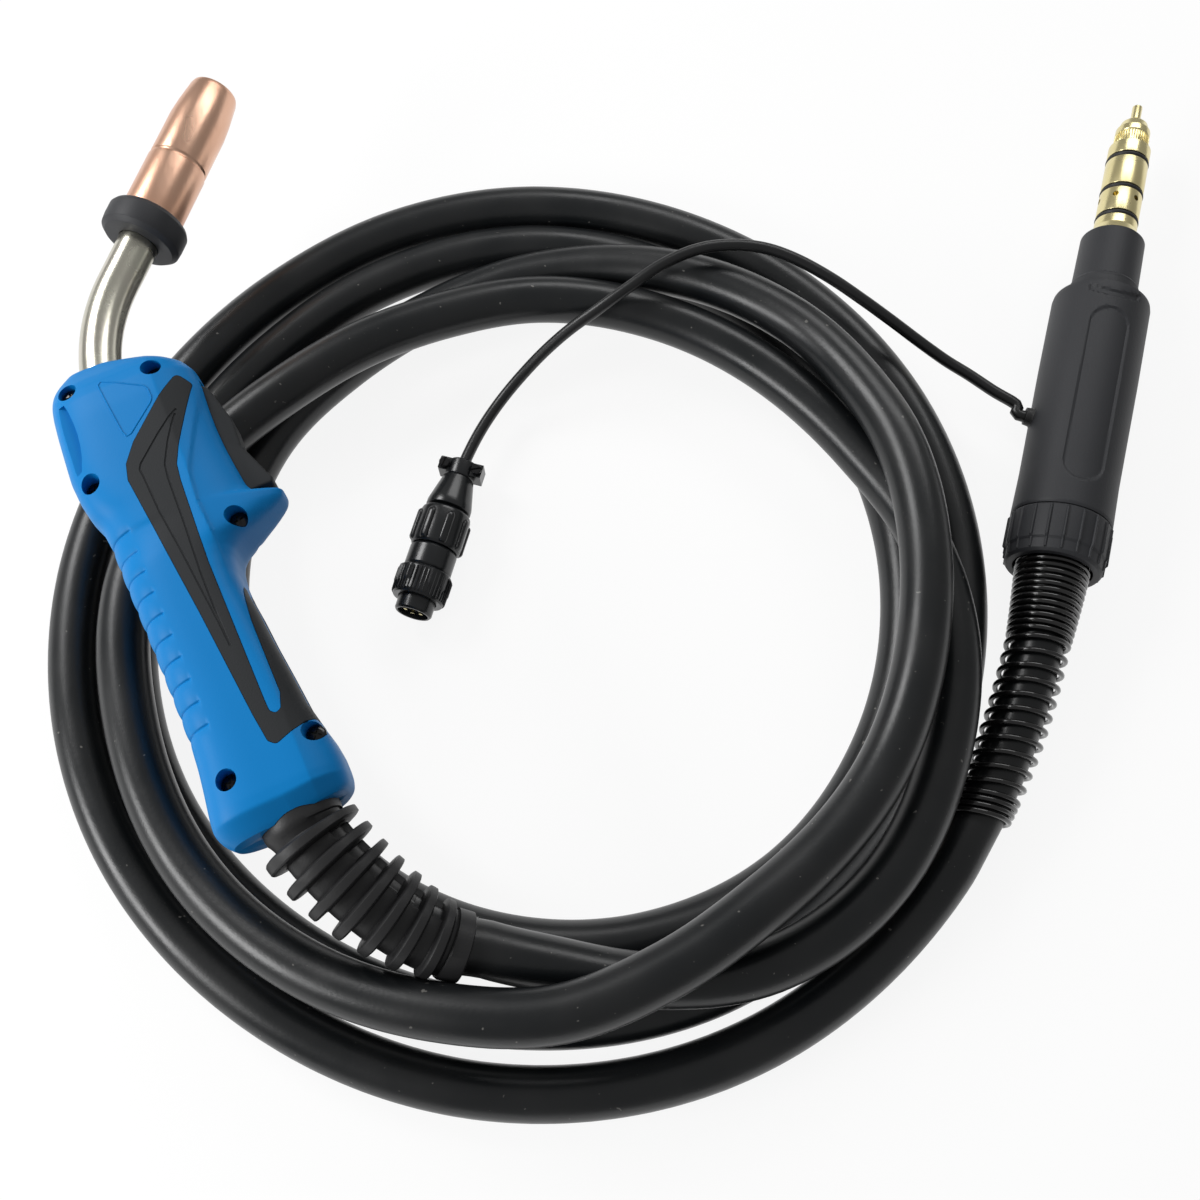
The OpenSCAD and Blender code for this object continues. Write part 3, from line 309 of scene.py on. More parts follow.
def between(table, t, k):
    # smooth value of column k at place t, through every row of the table
    i = 0
    while i < len(table) - 2 and t > table[i + 1][0]:
        i += 1
    h = table[i + 1][0] - table[i][0]
    u = (t - table[i][0]) / h
    return (table[i][k] * (2 * u**3 - 3 * u**2 + 1) + slopeOf(table, i, k) * h * (u**3 - 2 * u**2 + u)
            + table[i + 1][k] * (3 * u**2 - 2 * u**3) + slopeOf(table, i + 1, k) * h * (u**3 - u**2))


def step01(x, low, high):
    t = max(0.0, min(1.0, (x - low) / (high - low)))
    return t * t * (3 - 2 * t)


def prism(outline, low, high):
    # a solid between two heights over an outline, mostly for cutting; low may be a function of x
    points = [(x, y, low(x) if callable(low) else low) for x, y in outline]
    points += [(x, y, high) for x, y in outline]
    faces = capped(2, len(outline))
    return points, faces[-2:] + faces[:-2]


def loopTube(path, radius, sides=8):
    # a thin tube along a closed loop that lies nearly level
    path = np.array([tuple(p) for p in path], float)
    along = np.roll(path, -1, axis=0) - np.roll(path, 1, axis=0)
    along /= np.linalg.norm(along, axis=1)[:, None]
    side = np.cross(along, (0, 0, 1))
    side /= np.linalg.norm(side, axis=1)[:, None]
    up = np.cross(side, along)
    points = [tuple(path[i] + radius * (math.cos(a) * side[i] + math.sin(a) * up[i]))
              for i in range(len(path)) for a in anglesOf(sides)]
    return points, quads(len(path), sides, True)


def rodUp(x, y, low, high, radius, sides=48):
    return prism([(x + radius * math.cos(a), y + radius * math.sin(a)) for a in anglesOf(sides)], low, high)


def cutWith(piece, cutter, how="DIFFERENCE"):
    modifier = piece.modifiers.new("cut", "BOOLEAN")
    modifier.operation = how
    modifier.solver = "EXACT"
    modifier.object = cutter
    depsgraph = bpy.context.evaluated_depsgraph_get()
    result = bpy.data.meshes.new_from_object(piece.evaluated_get(depsgraph))
    piece.modifiers.clear()
    old = piece.data
    piece.data = result
    bpy.data.meshes.remove(old)
    dropHelper(cutter)


def dropHelper(helper):
    used = helper.data
    bpy.data.objects.remove(helper)
    bpy.data.meshes.remove(used)


def cut(piece, shapes, place, how="DIFFERENCE"):
    # takes each (points, faces) solid, in its own frame, out of the piece
    for points, faces in shapes:
        cutWith(piece, helperObject("cutter", points, faces, place), how)


def turned(profile, sides):
    # a solid turned about Z from a [radius, height] outline that starts and ends on the axis
    points, faces = [], []
    count = len(profile)
    for k in range(sides):
        a = 2 * math.pi * k / sides
        points += [(r * math.cos(a), r * math.sin(a), z) for r, z in profile]
        n = (k + 1) % sides
        faces += [(k * count + i, n * count + i, n * count + i + 1, k * count + i + 1)
                  for i in range(count - 1)]
    return points, faces


# node trees that copy a part onto places, round an axis, or run a wire along a path


def newTree(name, inputs):
    tree = bpy.data.node_groups.new(name, "GeometryNodeTree")
    for label, kind in dict(Geometry="Geometry", **inputs, Finish="Material").items():
        tree.interface.new_socket(name=label, in_out="INPUT", socket_type="NodeSocket" + kind)
    tree.interface.new_socket(name="Geometry", in_out="OUTPUT", socket_type="NodeSocketGeometry")
    return tree, tree.nodes.new("NodeGroupInput").outputs, tree.nodes.new("NodeGroupOutput")


def connect(tree, *pairs):
    for source, target in pairs:
        tree.links.new(source, target)


def closeTree(tree, last, given, done):
    real = tree.nodes.new("GeometryNodeRealizeInstances")
    coat = tree.nodes.new("GeometryNodeSetMaterial")
    connect(tree, (last, real.inputs["Geometry"]), (real.outputs["Geometry"], coat.inputs["Geometry"]),
            (given["Finish"], coat.inputs["Material"]), (coat.outputs["Geometry"], done.inputs["Geometry"]))
    return tree


def turnOf(tree):
    turn = tree.nodes.new("GeometryNodeInputNamedAttribute")
    turn.data_type = "FLOAT_VECTOR"
    turn.inputs["Name"].default_value = "turn"
    spin = tree.nodes.new("FunctionNodeEulerToRotation")
    connect(tree, (next(o for o in turn.outputs if o.enabled), spin.inputs["Euler"]))
    return spin.outputs["Rotation"]


def makeCopiesOnPoints():
    tree, given, done = newTree("copiesOnPoints", {"Part": "Object"})
    part = tree.nodes.new("GeometryNodeObjectInfo")
    copies = tree.nodes.new("GeometryNodeInstanceOnPoints")
    connect(tree, (given["Part"], part.inputs["Object"]), (given["Geometry"], copies.inputs["Points"]),
            (part.outputs["Geometry"], copies.inputs["Instance"]), (turnOf(tree), copies.inputs["Rotation"]))
    return closeTree(tree, copies.outputs["Instances"], given, done)


def makeCopiesAround():
    # copies of a part about an axis along Y, put at its place and joined to the body
    tree, given, done = newTree("copiesAround", {"Part": "Object", "Count": "Int", "First": "Float",
                                                 "At": "Vector", "Turn": "Float"})
    part, places, index, share, angle, aroundY, spin, copies, aroundZ, lay, move, join = (
        tree.nodes.new(kind) for kind in (
            "GeometryNodeObjectInfo", "GeometryNodePoints", "GeometryNodeInputIndex", "ShaderNodeMath",
            "ShaderNodeMath", "ShaderNodeCombineXYZ", "FunctionNodeEulerToRotation",
            "GeometryNodeInstanceOnPoints", "ShaderNodeCombineXYZ", "FunctionNodeEulerToRotation",
            "GeometryNodeTransform", "GeometryNodeJoinGeometry"))
    share.operation = "DIVIDE"
    share.inputs[0].default_value = 2 * math.pi
    angle.operation = "MULTIPLY_ADD"
    connect(tree, (given["Part"], part.inputs["Object"]), (given["Count"], places.inputs["Count"]),
            (given["Count"], share.inputs[1]), (index.outputs[0], angle.inputs[0]),
            (share.outputs[0], angle.inputs[1]), (given["First"], angle.inputs[2]),
            (angle.outputs[0], aroundY.inputs["Y"]), (aroundY.outputs[0], spin.inputs["Euler"]),
            (places.outputs[0], copies.inputs["Points"]), (part.outputs["Geometry"], copies.inputs["Instance"]),
            (spin.outputs["Rotation"], copies.inputs["Rotation"]), (given["Turn"], aroundZ.inputs["Z"]),
            (aroundZ.outputs[0], lay.inputs["Euler"]), (lay.outputs["Rotation"], move.inputs["Rotation"]),
            (copies.outputs["Instances"], move.inputs["Geometry"]), (given["At"], move.inputs["Translation"]),
            (given["Geometry"], join.inputs[0]), (move.outputs[0], join.inputs[0]))
    return closeTree(tree, join.outputs[0], given, done)


def makeWireOnPath():
    tree, given, done = newTree("wireOnPath", {"Radius": "Float", "Sides": "Int"})
    line = tree.nodes.new("GeometryNodeMeshToCurve")
    section = tree.nodes.new("GeometryNodeCurvePrimitiveCircle")
    wire = tree.nodes.new("GeometryNodeCurveToMesh")
    wire.inputs["Fill Caps"].default_value = True
    connect(tree, (given["Geometry"], line.inputs[0]), (line.outputs[0], wire.inputs["Curve"]),
            (given["Radius"], section.inputs["Radius"]), (given["Sides"], section.inputs["Resolution"]),
            (section.outputs[0], wire.inputs["Profile Curve"]))
    return closeTree(tree, wire.outputs[0], given, done)


def makeRingsOnPoints():
    tree, given, done = newTree("ringsOnPoints", {"Ring Radius": "Float", "Section Radius": "Float"})
    ring = tree.nodes.new("GeometryNodeCurvePrimitiveCircle")
    section = tree.nodes.new("GeometryNodeCurvePrimitiveCircle")
    setInputs(ring, Resolution=96)
    setInputs(section, Resolution=20)
    sweepRing = tree.nodes.new("GeometryNodeCurveToMesh")
    copies = tree.nodes.new("GeometryNodeInstanceOnPoints")
    connect(tree, (given["Ring Radius"], ring.inputs["Radius"]),
            (given["Section Radius"], section.inputs["Radius"]),
            (ring.outputs[0], sweepRing.inputs["Curve"]),
            (section.outputs[0], sweepRing.inputs["Profile Curve"]),
            (given["Geometry"], copies.inputs["Points"]), (sweepRing.outputs[0], copies.inputs["Instance"]),
            (turnOf(tree), copies.inputs["Rotation"]))
    return closeTree(tree, copies.outputs["Instances"], given, done)


copiesOnPoints = makeCopiesOnPoints()
copiesAround = makeCopiesAround()
wireOnPath = makeWireOnPath()
ringsOnPoints = makeRingsOnPoints()


def pointsMesh(name, places, turns=None):
    # bare places, each with the turn (in degrees) of what is put there; without turns they are one line
    lines = [] if turns else [(i, i + 1) for i in range(len(places) - 1)]
    mesh = bpy.data.meshes.new(name)
    mesh.from_pydata([tuple(Vector(p) * mm) for p in places], lines, [])
    if turns:
        turn = mesh.attributes.new("turn", "FLOAT_VECTOR", "POINT")
        for i, angles in enumerate(turns):
            turn.data[i].vector = [math.radians(a) for a in angles]
    return mesh


def grow(name, base, tree, values, node, flatAngle=35.0, others=()):
    # the plain mesh that a tree makes from a base mesh, as a finished piece
    piece = bpy.data.objects.new(name, base)
    bpy.context.scene.collection.objects.link(piece)
    modifier = piece.modifiers.new("grow", "NODES")
    modifier.node_group = tree
    values = dict(values, Finish=finishOfSlot[slotOfNode[node]])
    for item in tree.interface.items_tree:
        if item.item_type == "SOCKET" and item.in_out == "INPUT" and item.name in values:
            modifier[item.identifier] = values[item.name]
    depsgraph = bpy.context.evaluated_depsgraph_get()
    mesh = bpy.data.meshes.new_from_object(piece.evaluated_get(depsgraph))
    piece.modifiers.clear()
    piece.data = mesh
    bpy.data.meshes.remove(base)
    workOn(mesh, pointOutwards)
    finish(piece, node, flatAngle, others)
    return piece


def growRibs(body, part, count, first, place, node, flatAngle=35.0):
    # ribs about a turned body; the body's own object gives way to the one that carries them
    name, base = body.name, body.data
    bpy.data.objects.remove(body)
    at = place.to_translation() * mm
    ribbed = grow(name, base, copiesAround, {"Part": part, "Count": count, "First": math.radians(first),
                                             "At": at, "Turn": place.to_euler().z}, node, flatAngle)
    dropHelper(part)
    return ribbed


def ribPart(sections, sides=7):
    # a rib along Y on the +X side of its axis, from rows of [place, foot radius, crown radius, half width]
    points = []
    for s, foot, crown, half in sections:
        points.append((foot, s, -half))
        points += [(foot + (crown - foot) * math.sin(math.pi * k / (sides + 1)) ** 0.4, s,
                    -half * math.cos(math.pi * k / (sides + 1))) for k in range(1, sides + 1)]
        points.append((foot, s, half))
    return helperObject("ribPart", points, capped(len(sections), sides + 2))


# power cable

coil = {
    "at": (-51.0, -41.0),
    "stations": [
        (264, 144, 44), (276, 151, 37), (288, 163, 31.5), (302, 176, 31), (318, 181, 31),
        (336, 177, 31), (352, 171, 31), (368, 160, 31), (382, 149, 29), (400, 141, 27),
        (425, 134.6, 26), (450, 129.7, 28), (466, 126, 30), (482, 126, 32), (500, 130, 33),
        (518, 141, 32), (540, 155, 31), (562, 160, 31), (585, 166, 33), (605, 168, 41),
        (622, 168, 49), (636, 168, 53), (650, 162, 53), (665, 157, 51), (690, 157, 47),
        (708, 156, 49), (722, 156, 52), (738, 158, 50), (750, 159, 44), (765, 160, 37),
        (785, 156, 30), (810, 148.5, 18), (830, 140, 11), (848, 134, 10), (866, 132, 10),
        (884, 128, 10), (902, 124, 10), (924, 120, 10), (945, 123, 10), (968, 132, 10),
        (990, 140, 10), (1010, 147, 10), (1032, 153, 10), (1056, 155, 10), (1080, 157, 10),
        (1110, 161, 10), (1140, 166, 10), (1170, 169, 10), (1195, 164.5, 10), (1215, 160, 10),
        (1240, 160, 10), (1262, 161, 10), (1290, 163, 10), (1320, 164, 10), (1350, 168, 10),
        (1375, 173, 10), (1400, 175, 10), (1422, 178, 10), (1442, 181, 10), (1470, 186, 10),
        (1500, 189, 10), (1530, 190.5, 10), (1550, 188, 10), (1567, 184, 10), (1590, 182, 10),
        (1620, 184, 10), (1650, 186, 10), (1680, 188, 10), (1710, 193, 10), (1735, 197, 10),
        (1758, 198.5, 11.6), (1771, 200, 13.3),
    ],
}
bootPath = [
    (0, 12, 0), (0, 4, 0), (0.2, -4, -0.3), (2, -12, -1.4), (4.9, -20.5, -3), (8.4, -29, -5.1),
    (12.6, -37.4, -7.6), (17.6, -45.6, -10.5), (23.6, -53.2, -13.7), (29.6, -59.2, -16.7),
    (33.4, -62.3, -18.4),
]
tailStations = [
    (-109.5, -9.8, -7.7), (-95, -6.2, -7.1), (-80, -3.5, -5.9), (-64, -1.6, -4.2), (-46, -0.5, -2.3),
    (-30, 0, -1), (-15, 0, 0), (0, 0, 0), (48, 0, 0),
]


def coilPoint(a):
    r = between(coil["stations"], a, 1)
    z = max(between(coil["stations"], a, 2), 10.0)
    return Vector((coil["at"][0] + r * math.cos(math.radians(a)),
                   coil["at"][1] + r * math.sin(math.radians(a)), z))


def tailPoint(s):
    return rearPlace @ Vector((between(tailStations, s, 1), s, between(tailStations, s, 2)))


def evenly(points, gap):
    # the same line with its points spaced evenly
    points = np.array([tuple(p) for p in points], float)
    reach = np.concatenate([[0], np.cumsum(np.linalg.norm(np.diff(points, axis=0), axis=1))])
    count = max(2, int(round(reach[-1] / gap)) + 1)
    at = np.linspace(0, reach[-1], count)
    return np.stack([np.interp(at, reach, points[:, k]) for k in range(3)], axis=1)


cablePoints = [torchPlace @ Vector(p) for p in bootPath[7:10]]
cablePoints += [coilPoint(264 + 2.0 * i) for i in range(1, 752)]
cablePoints += [tailPoint(-106 + 4.0 * i) for i in range(1, 34)]
cablePoints = evenly(cablePoints, 4.0)
powerCable = sweep("power_cable", cablePoints, 10.0, "cable_coil", sides=40, others=("cable_tail",))

# control lead

leadRoute = [
    (158, 41, 21), (149, 47.6, 21), (139, 55.4, 21.4), (129, 61.6, 23),
    (117, 68.8, 27), (105, 76, 31.6), (92, 83, 37), (78, 90.4, 42), (63, 97.4, 45.6),
    (49, 101.6, 47.6), (34, 102.4, 48.4), (20, 99.8, 48.4), (6, 93.4, 47.2), (-8, 84.4, 44),
    (-21, 76.4, 39.6), (-33, 70.4, 33.4), (-44, 64, 26), (-54, 56.6, 18.6), (-62.4, 48, 13.8),
    (-69, 38, 12.4), (-74, 28, 12.2),
]


def curved(points, steps=8):
    # a smooth line through all the points
    table = [(i,) + tuple(p) for i, p in enumerate(points)]
    return [[between(table, t / steps, k) for k in (1, 2, 3)] for t in range((len(points) - 1) * steps + 1)]


leadStart = [rearPlace @ Vector((x, 67.0, 0.0)) for x in (-15.5, -20.0, -26.5)]
leadEnd = [Vector((-78.0, 18.0, 12.2)), plugPlace @ Vector((0, 3, 0))]
leadPoints = evenly(curved(leadStart + [Vector(p) for p in leadRoute] + leadEnd), 2.0)
controlLead = sweep("control_cable", leadPoints, 2.5, "control_lead", sides=20)

# bend boot

boot = {
    # the collars as (place from their end, radius)
    "collar": ((0, 12.9), (0.01, 14.2), (0.5, 14.5), (6, 14.5), (14.6, 14.4), (15.6, 14.1), (16.2, 13.4)),
    "endCollar": ((6.8, 11.6), (6.75, 12.3), (6.2, 12.7), (0.5, 12.7), (0, 12.2), (-0.01, 10.3)),
    "core": 26.0, "coreTaper": 2.4, "rims": (36.6, 36.4, 35.8, 34.8, 33.4, 31.2, 28.6), "pitch": 9.2,
    "first": 21.0, "slotDepth": 2.4, "slotAt": 150, "slotHalf": 27,
}
bootReach = [0.0]
for p, q in zip(bootPath, bootPath[1:]):
    bootReach.append(bootReach[-1] + (Vector(q) - Vector(p)).length)
bootTable = [(s,) + tuple(p) for s, p in zip(bootReach, bootPath)]
bootLength = bootReach[-1]


def bootRings():
    # rings as [place, radius, whether the slots cut it]: the collar, each rib and its neck, the end collar
    rings = [(s, r, False) for s, r in boot["collar"]]
    for k, rim in enumerate(boot["rims"]):
        s = boot["first"] + k * boot["pitch"]
        rim = rim / 2
        core = (boot["core"] - boot["coreTaper"] * s / bootLength) / 2
        flank = ((2.5, core), (2.2, core + 0.4), (1.9, rim - 1.3), (1.7, rim - 0.5), (1.3, rim))
        rings += [(s - ds, r, False) for ds, r in flank] + [(s, rim + 0.05, False)]
        rings += [(s + ds, r, False) for ds, r in reversed(flank)]
        if k < len(boot["rims"]) - 1:
            rings += [(s + 2.8, core, True), (s + boot["pitch"] - 2.8, core, True)]
    return rings + [(bootLength - s, r, False) for s, r in boot["endCollar"]]


rings = bootRings()


def bootRadius(i, a):
    s, r, slotted = rings[i]
    turn = abs(math.degrees(a) % 180 - boot["slotAt"])
    return r - boot["slotDepth"] * step01(turn, boot["slotHalf"] + 2, boot["slotHalf"] - 2) if slotted else r


bootLine = [[between(bootTable, max(0.0, min(bootLength, s)), k) for k in (1, 2, 3)]
            for s, r, slotted in rings]
for i in range(1, len(bootLine)):
    if (Vector(bootLine[i]) - Vector(bootLine[i - 1])).length < 0.004:
        ahead = (Vector(bootLine[i]) - Vector(bootLine[i - 2])).normalized()
        bootLine[i] = list(Vector(bootLine[i]) + 0.005 * ahead)
sweep("bend_boot", bootLine, bootRadius, "cable_boot", torchPlace, sides=96, flatAngle=30.0)

# support spring

spring = {"od": 25.6, "coneOd": 30.4, "wire": 2.2, "start": 4.0, "cone": 13, "open": 11, "closed": 3.5,
          "closedPitch": 2.65, "openPitch": 6.0}


def springPoint(t):
    cone, opened = spring["cone"], spring["open"]
    s = spring["start"] - spring["wire"] / 2 - (
        min(t, cone) * spring["closedPitch"]
        + max(0.0, min(t - cone, opened)) * spring["openPitch"]
        + max(0.0, t - cone - opened) * spring["closedPitch"])
    d = spring["coneOd"] - (spring["coneOd"] - spring["od"]) * min(t / cone, 1.0)
    r = (d - spring["wire"]) / 2
    x = between(tailStations, s, 1) if s < 0 else 0.0
    z = between(tailStations, s, 2) if s < 0 else 0.0
    return rearPlace @ Vector((x + r * math.cos(2 * math.pi * t), s, z + r * math.sin(2 * math.pi * t)))


turns = spring["cone"] + spring["open"] + spring["closed"]
springLine = pointsMesh("springLine", [springPoint(turns * i / 900) for i in range(901)])
grow("support_coil", springLine, wireOnPath, {"Radius": spring["wire"] / 2 * mm, "Sides": 12},
     "support_spring", 60.0)
print("boot and spring")

# front end

ringS, ringL, nozzleL = 20.0, 12.5, 67.5
frontS = ringS + ringL
mouthS = frontS + nozzleL
nozzleR = 12.25
back = frontS + 0.3
lathe("nozzle", [
    (nozzleR - 1.8, back), (nozzleR - 0.5, back), (nozzleR, back + 0.8), (nozzleR, back + 26),
    (nozzleR - 0.7, back + 26.6), (nozzleR - 0.7, back + 27.6), (nozzleR - 0.25, back + 28.2),
    (nozzleR - 0.25, mouthS - 19), (nozzleR - 0.8, mouthS - 12), (10.2, mouthS - 2),
    (9.6, mouthS), (8.5, mouthS), (8.2, mouthS - 1), (nozzleR - 2.6, mouthS - 13),
    (nozzleR - 1.8, mouthS - 21)], "gas_nozzle", frontPlace, 128, soft=0.5)
tipS = mouthS - 6.0
lathe("tip", [
    (0.65, tipS - 30), (2.8, tipS - 30), (2.8, tipS - 24.5), (4, tipS - 24.5), (4, tipS - 4), (2.6, tipS),
    (0.85, tipS), (0.65, tipS - 0.4)], "contact_tip", frontPlace, 48, soft=0.2)
lathe("insulator", [
    (8.06, ringS), (14.2, ringS), (16.2, ringS + 1.8), (16.5, ringS + 5), (16.5, frontS - 2.4),
    (15.6, frontS - 0.8),
    (14.6, frontS), (10.15, frontS), (10.15, frontS + 7.5), (9.6, frontS + 8), (5.76, frontS + 8),
    (5.76, frontS + 0.2), (8.06, frontS + 0.2)], "nozzle_insulator", frontPlace, 128, soft=0.6)


def neckPath(start, straight):
    line = [Vector((neckX, y, 0)) for y in np.linspace(start, neckBendY, 8)[:-1]]
    line += [Vector((neckX + neckBendR * (1 - math.cos(a)), neckBendY + neckBendR * math.sin(a), 0))
             for a in np.radians(np.linspace(0, neckBend, 22))]
    ahead = Vector((math.sin(math.radians(neckBend)), math.cos(math.radians(neckBend)), 0))
    line += [Vector(frontOrigin) + ahead * s for s in np.linspace(4, straight, 7)]
    return line


swanNeck = sweep("neck", neckPath(150.0, frontS), 8.0, "swan_neck", torchPlace, sides=96)
cut(swanNeck, [tubeMesh(neckPath(149.0, frontS + 0.6), 6.3, 48)], torchPlace)
smooth(swanNeck, 40.0)
print("front end")

# handle shells

handle = {
    "stations": [
        (-2, -24.2, 18.2, 12.6), (-1.2, -25.2, 19.6, 13.6), (1, -27.2, 20.6, 15.4), (5, -28.6, 21.2, 18.7),
        (9, -28.4, 21.4, 19), (14, -27.8, 21.4, 19), (20, -27.0, 20.6, 19), (28, -26.1, 18.6, 19),
        (36, -25.6, 16.8, 19), (50, -25.8, 15.4, 19), (64, -26.1, 13.8, 19), (76, -26.4, 12.8, 19),
        (84, -26.7, 11.8, 19), (92, -27.0, 11.6, 19), (98, -27.3, 12.4, 19), (102, -27.5, 14.0, 19),
        (105, -27.6, 17.2, 19), (108, -27.7, 24.0, 19), (112, -27.8, 31.8, 19), (115.5, -27.9, 37.0, 19),
        (119.2, -28.0, 38.6, 19), (120.2, -28.0, 29.0, 19), (124, -28.2, 26.8, 19), (129, -28.8, 26.2, 19),
        (134, -31.0, 25.6, 19), (142, -32.6, 24.8, 19), (151, -33.4, 24.4, 19), (160, -33.0, 24.6, 19),
        (171, -32.4, 25.2, 19), (179, -31.8, 24.8, 18.4), (184, -31.2, 22.2, 17), (188, -30.2, 17.6, 15),
        (191, -28.6, 11.8, 13), (193.5, -26.0, 5.0, 11.4), (195.5, -23.0, -1.4, 10.2),
    ],
    "end": 195.5, "endSlant": 0.17, "gripPower": 2.8, "headPower": 3.4, "frontPower": 4.4,
    "frontFrom": 10.0, "frontRun": 26.0, "frontThinning": 0.36,
    "grooveFirst": 39.0, "groovePitch": 9.0, "grooveCount": 10, "grooveDepth": 0.55, "grooveReach": 10.5,
    "wall": 1.2, "inlayGap": 0.2, "inlayProud": 0.12, "lipStep": 0.8,
    "lip": [(60, 8.6), (90, 9.1), (102, 9.5), (120, 8.7), (132.8, 9.6), (150, 16.6), (166.7, 23.6),
            (171, 26)],
    "screws": [(-21.8, 185.2, 9.0), (10.6, 181, 9.0), (-24.8, 143.8, 9.0), (19.2, 110.6, 8.0),
               (16.4, 22.6, 7.6), (-16.2, 18.1, 9.0)],
}
fineStep = 0.25
fineY = np.arange(-2.0, handle["end"] + 0.01, fineStep)
stationTable = np.array(handle["stations"])


def eased(column, width):
    # a column of the stations at every quarter millimetre, its corners eased by a moving average
    line = np.interp(fineY, stationTable[:, 0], stationTable[:, column])
    reach = int(width / fineStep)
    window = np.hanning(2 * reach + 3)
    window /= window.sum()
    padded = np.concatenate([2 * line[0] - line[reach + 1:0:-1], line, 2 * line[-1] - line[-2:-reach - 3:-1]])
    return np.convolve(padded, window, mode="valid")[: len(line)]


leftEdge, rightEdge, halfHeight = eased(1, 3.0), eased(2, 1.8), eased(3, 1.2)


def edgesAt(y, out=0.0):
    left = float(np.interp(y, fineY, leftEdge)) - out
    right = float(np.interp(y, fineY, rightEdge)) + out
    return left, right, float(np.interp(y, fineY, halfHeight)) + out


def powerAt(y, t):
    if t > 0:
        return handle["frontPower"]
    return handle["gripPower"] + (handle["headPower"] - handle["gripPower"]) * step01(y, 120.0, 145.0)


def frontThin(x):
    return 1 - handle["frontThinning"] * min(1.0, max(0.0, (x - handle["frontFrom"]) / handle["frontRun"]))


def topHeight(x, y, out=0.0):
    # height of the handle's upper face above its parting plane
    left, right, h = edgesAt(y, out)
    t = max(-0.999, min(0.999, (x - (left + right) / 2) / ((right - left) / 2)))
    p = powerAt(y, t)
    return h * (1 - abs(t) ** p) ** (1 / p) * frontThin(x)


def grooveAt(y):
    k = round((y - handle["grooveFirst"]) / handle["groovePitch"])
    if k < 0 or k >= handle["grooveCount"]:
        return 0.0
    off = abs(y - handle["grooveFirst"] - k * handle["groovePitch"])
    return handle["grooveDepth"] * math.exp(-((off / 0.34) ** 2)) + 0.45 * math.exp(-((off / 1.9) ** 2))


def lipAt(x, y):
    # the face falls away in a soft step beyond the raised lip that runs beside the inlay
    table = handle["lip"]
    edge = float(np.interp(y, [p[0] for p in table], [p[1] for p in table]))
    share = step01(y, 84.0, 100.0) * step01(y, 176.0, 168.0)
    return share * (handle["lipStep"] * step01(x, edge, edge + 1.1) + 0.03 * max(0.0, x - edge - 1.1))


def sectionPlaces(p):
    # places across half a section, from its middle to its edge
    flat = [0.02 * k for k in range(46)]
    rise = (1 - flat[-1] ** p) ** (1 / p)
    return flat + [(1 - (rise * (1 - k / 10)) ** p) ** (1 / p) for k in range(1, 10)] + [1.0]


def handleHalf(out, ys, detailed=True):
    # the upper half of the handle grown by out, from a row of points at each of ys
    points = []
    for i, y in enumerate(ys):
        left, right, h = edgesAt(y, out)
        mid, w = (left + right) / 2, (right - left) / 2
        groove = grooveAt(y) if detailed else 0.0
        shift = -out if i == 0 else out if i == len(ys) - 1 else 0.0
        slant = handle["endSlant"] * max(0.0, (10.0 - y) / 12.0)
        places = [-t for t in reversed(sectionPlaces(powerAt(y, -1))[1:])] + sectionPlaces(powerAt(y, 1))
        for t in places:
            p = powerAt(y, t)
            x = mid + w * t
            z = h * max(0.0, 1 - abs(t) ** p) ** (1 / p) * frontThin(x)
            yAt = y + shift + slant * max(0.0, x)
            if abs(t) == 1.0:
                points.append((x - math.copysign(groove, t) * (t < 0), yAt, 0.0))
                continue
            if detailed:
                z -= lipAt(x, y) * step01(z, 4.0, 12.0)
            near = step01(x - left, handle["grooveReach"] + 0.6, handle["grooveReach"] - 0.6)
            lean = abs(t) ** p
            points.append((x + groove * near * lean, yAt, z - groove * near * (1 - lean)))
    return points, capped(len(ys), len(points) // len(ys))


def onSide(side, points):
    # the points of the upper half, or their mirror in the lower one
    return points if side > 0 else [(x, y, -z) for x, y, z in points]


inlayOutline = [
    (18.4, 175.6), (-4.9, 152.2), (-10.1, 144.6), (-11.5, 138.1), (-4.5, 78.3), (-0.1, 35.1), (1.4, 24.3),
    (3.8, 22), (18.7, 27.5), (30, 29), (30, 62), (22, 97), (15, 95), (11.6, 86), (10.7, 68.8), (11, 39.4),
    (9.4, 33.6), (7.4, 32.6), (5.7, 34.2), (5.5, 38.4), (4.8, 95.5), (6.2, 129.8), (7, 136.7), (10.2, 144.4),
    (22.5, 170.2),
]
triggerSlot = [(13.4, 174), (30, 174), (44, 150), (44, 119.6), (19.6, 119.6), (17.6, 150), (13.4, 158)]
panelOutline = [
    (-9.8, 181.2), (-8.4, 182.6), (5.9, 173.4), (7.0, 171.4), (7.2, 167.2), (6.2, 165.4), (-4.5, 155.8),
    (-6.3, 155.4), (-7.2, 157.6),
]
thumbHollow = [
    (-24.2, 179.6), (-23.3, 175), (-22.9, 170), (-22.8, 165), (-23.3, 160), (-24.3, 155), (-26.2, 149.8),
    (-32, 149), (-33, 165), (-31, 180),
]


def hollowFloor(x):
    return 14.0 - 0.2 * (x + 23.0)


def offsetOutline(outline, gap):
    # the outline moved inward by gap, square to its edges
    area = sum(p[0] * q[1] - q[0] * p[1] for p, q in zip(outline, outline[1:] + outline[:1]))
    sign = 1 if area > 0 else -1
    out = []
    for i in range(len(outline)):
        p, q, r = (np.array(outline[(i + k) % len(outline)], float) for k in (-1, 0, 1))
        a, b = (q - p) / np.linalg.norm(q - p), (r - q) / np.linalg.norm(r - q)
        na, nb = sign * np.array((-a[1], a[0])), sign * np.array((-b[1], b[0]))
        n = na + nb
        n /= max(0.35, float(n @ na))
        out.append(tuple(q + gap * n))
    return out


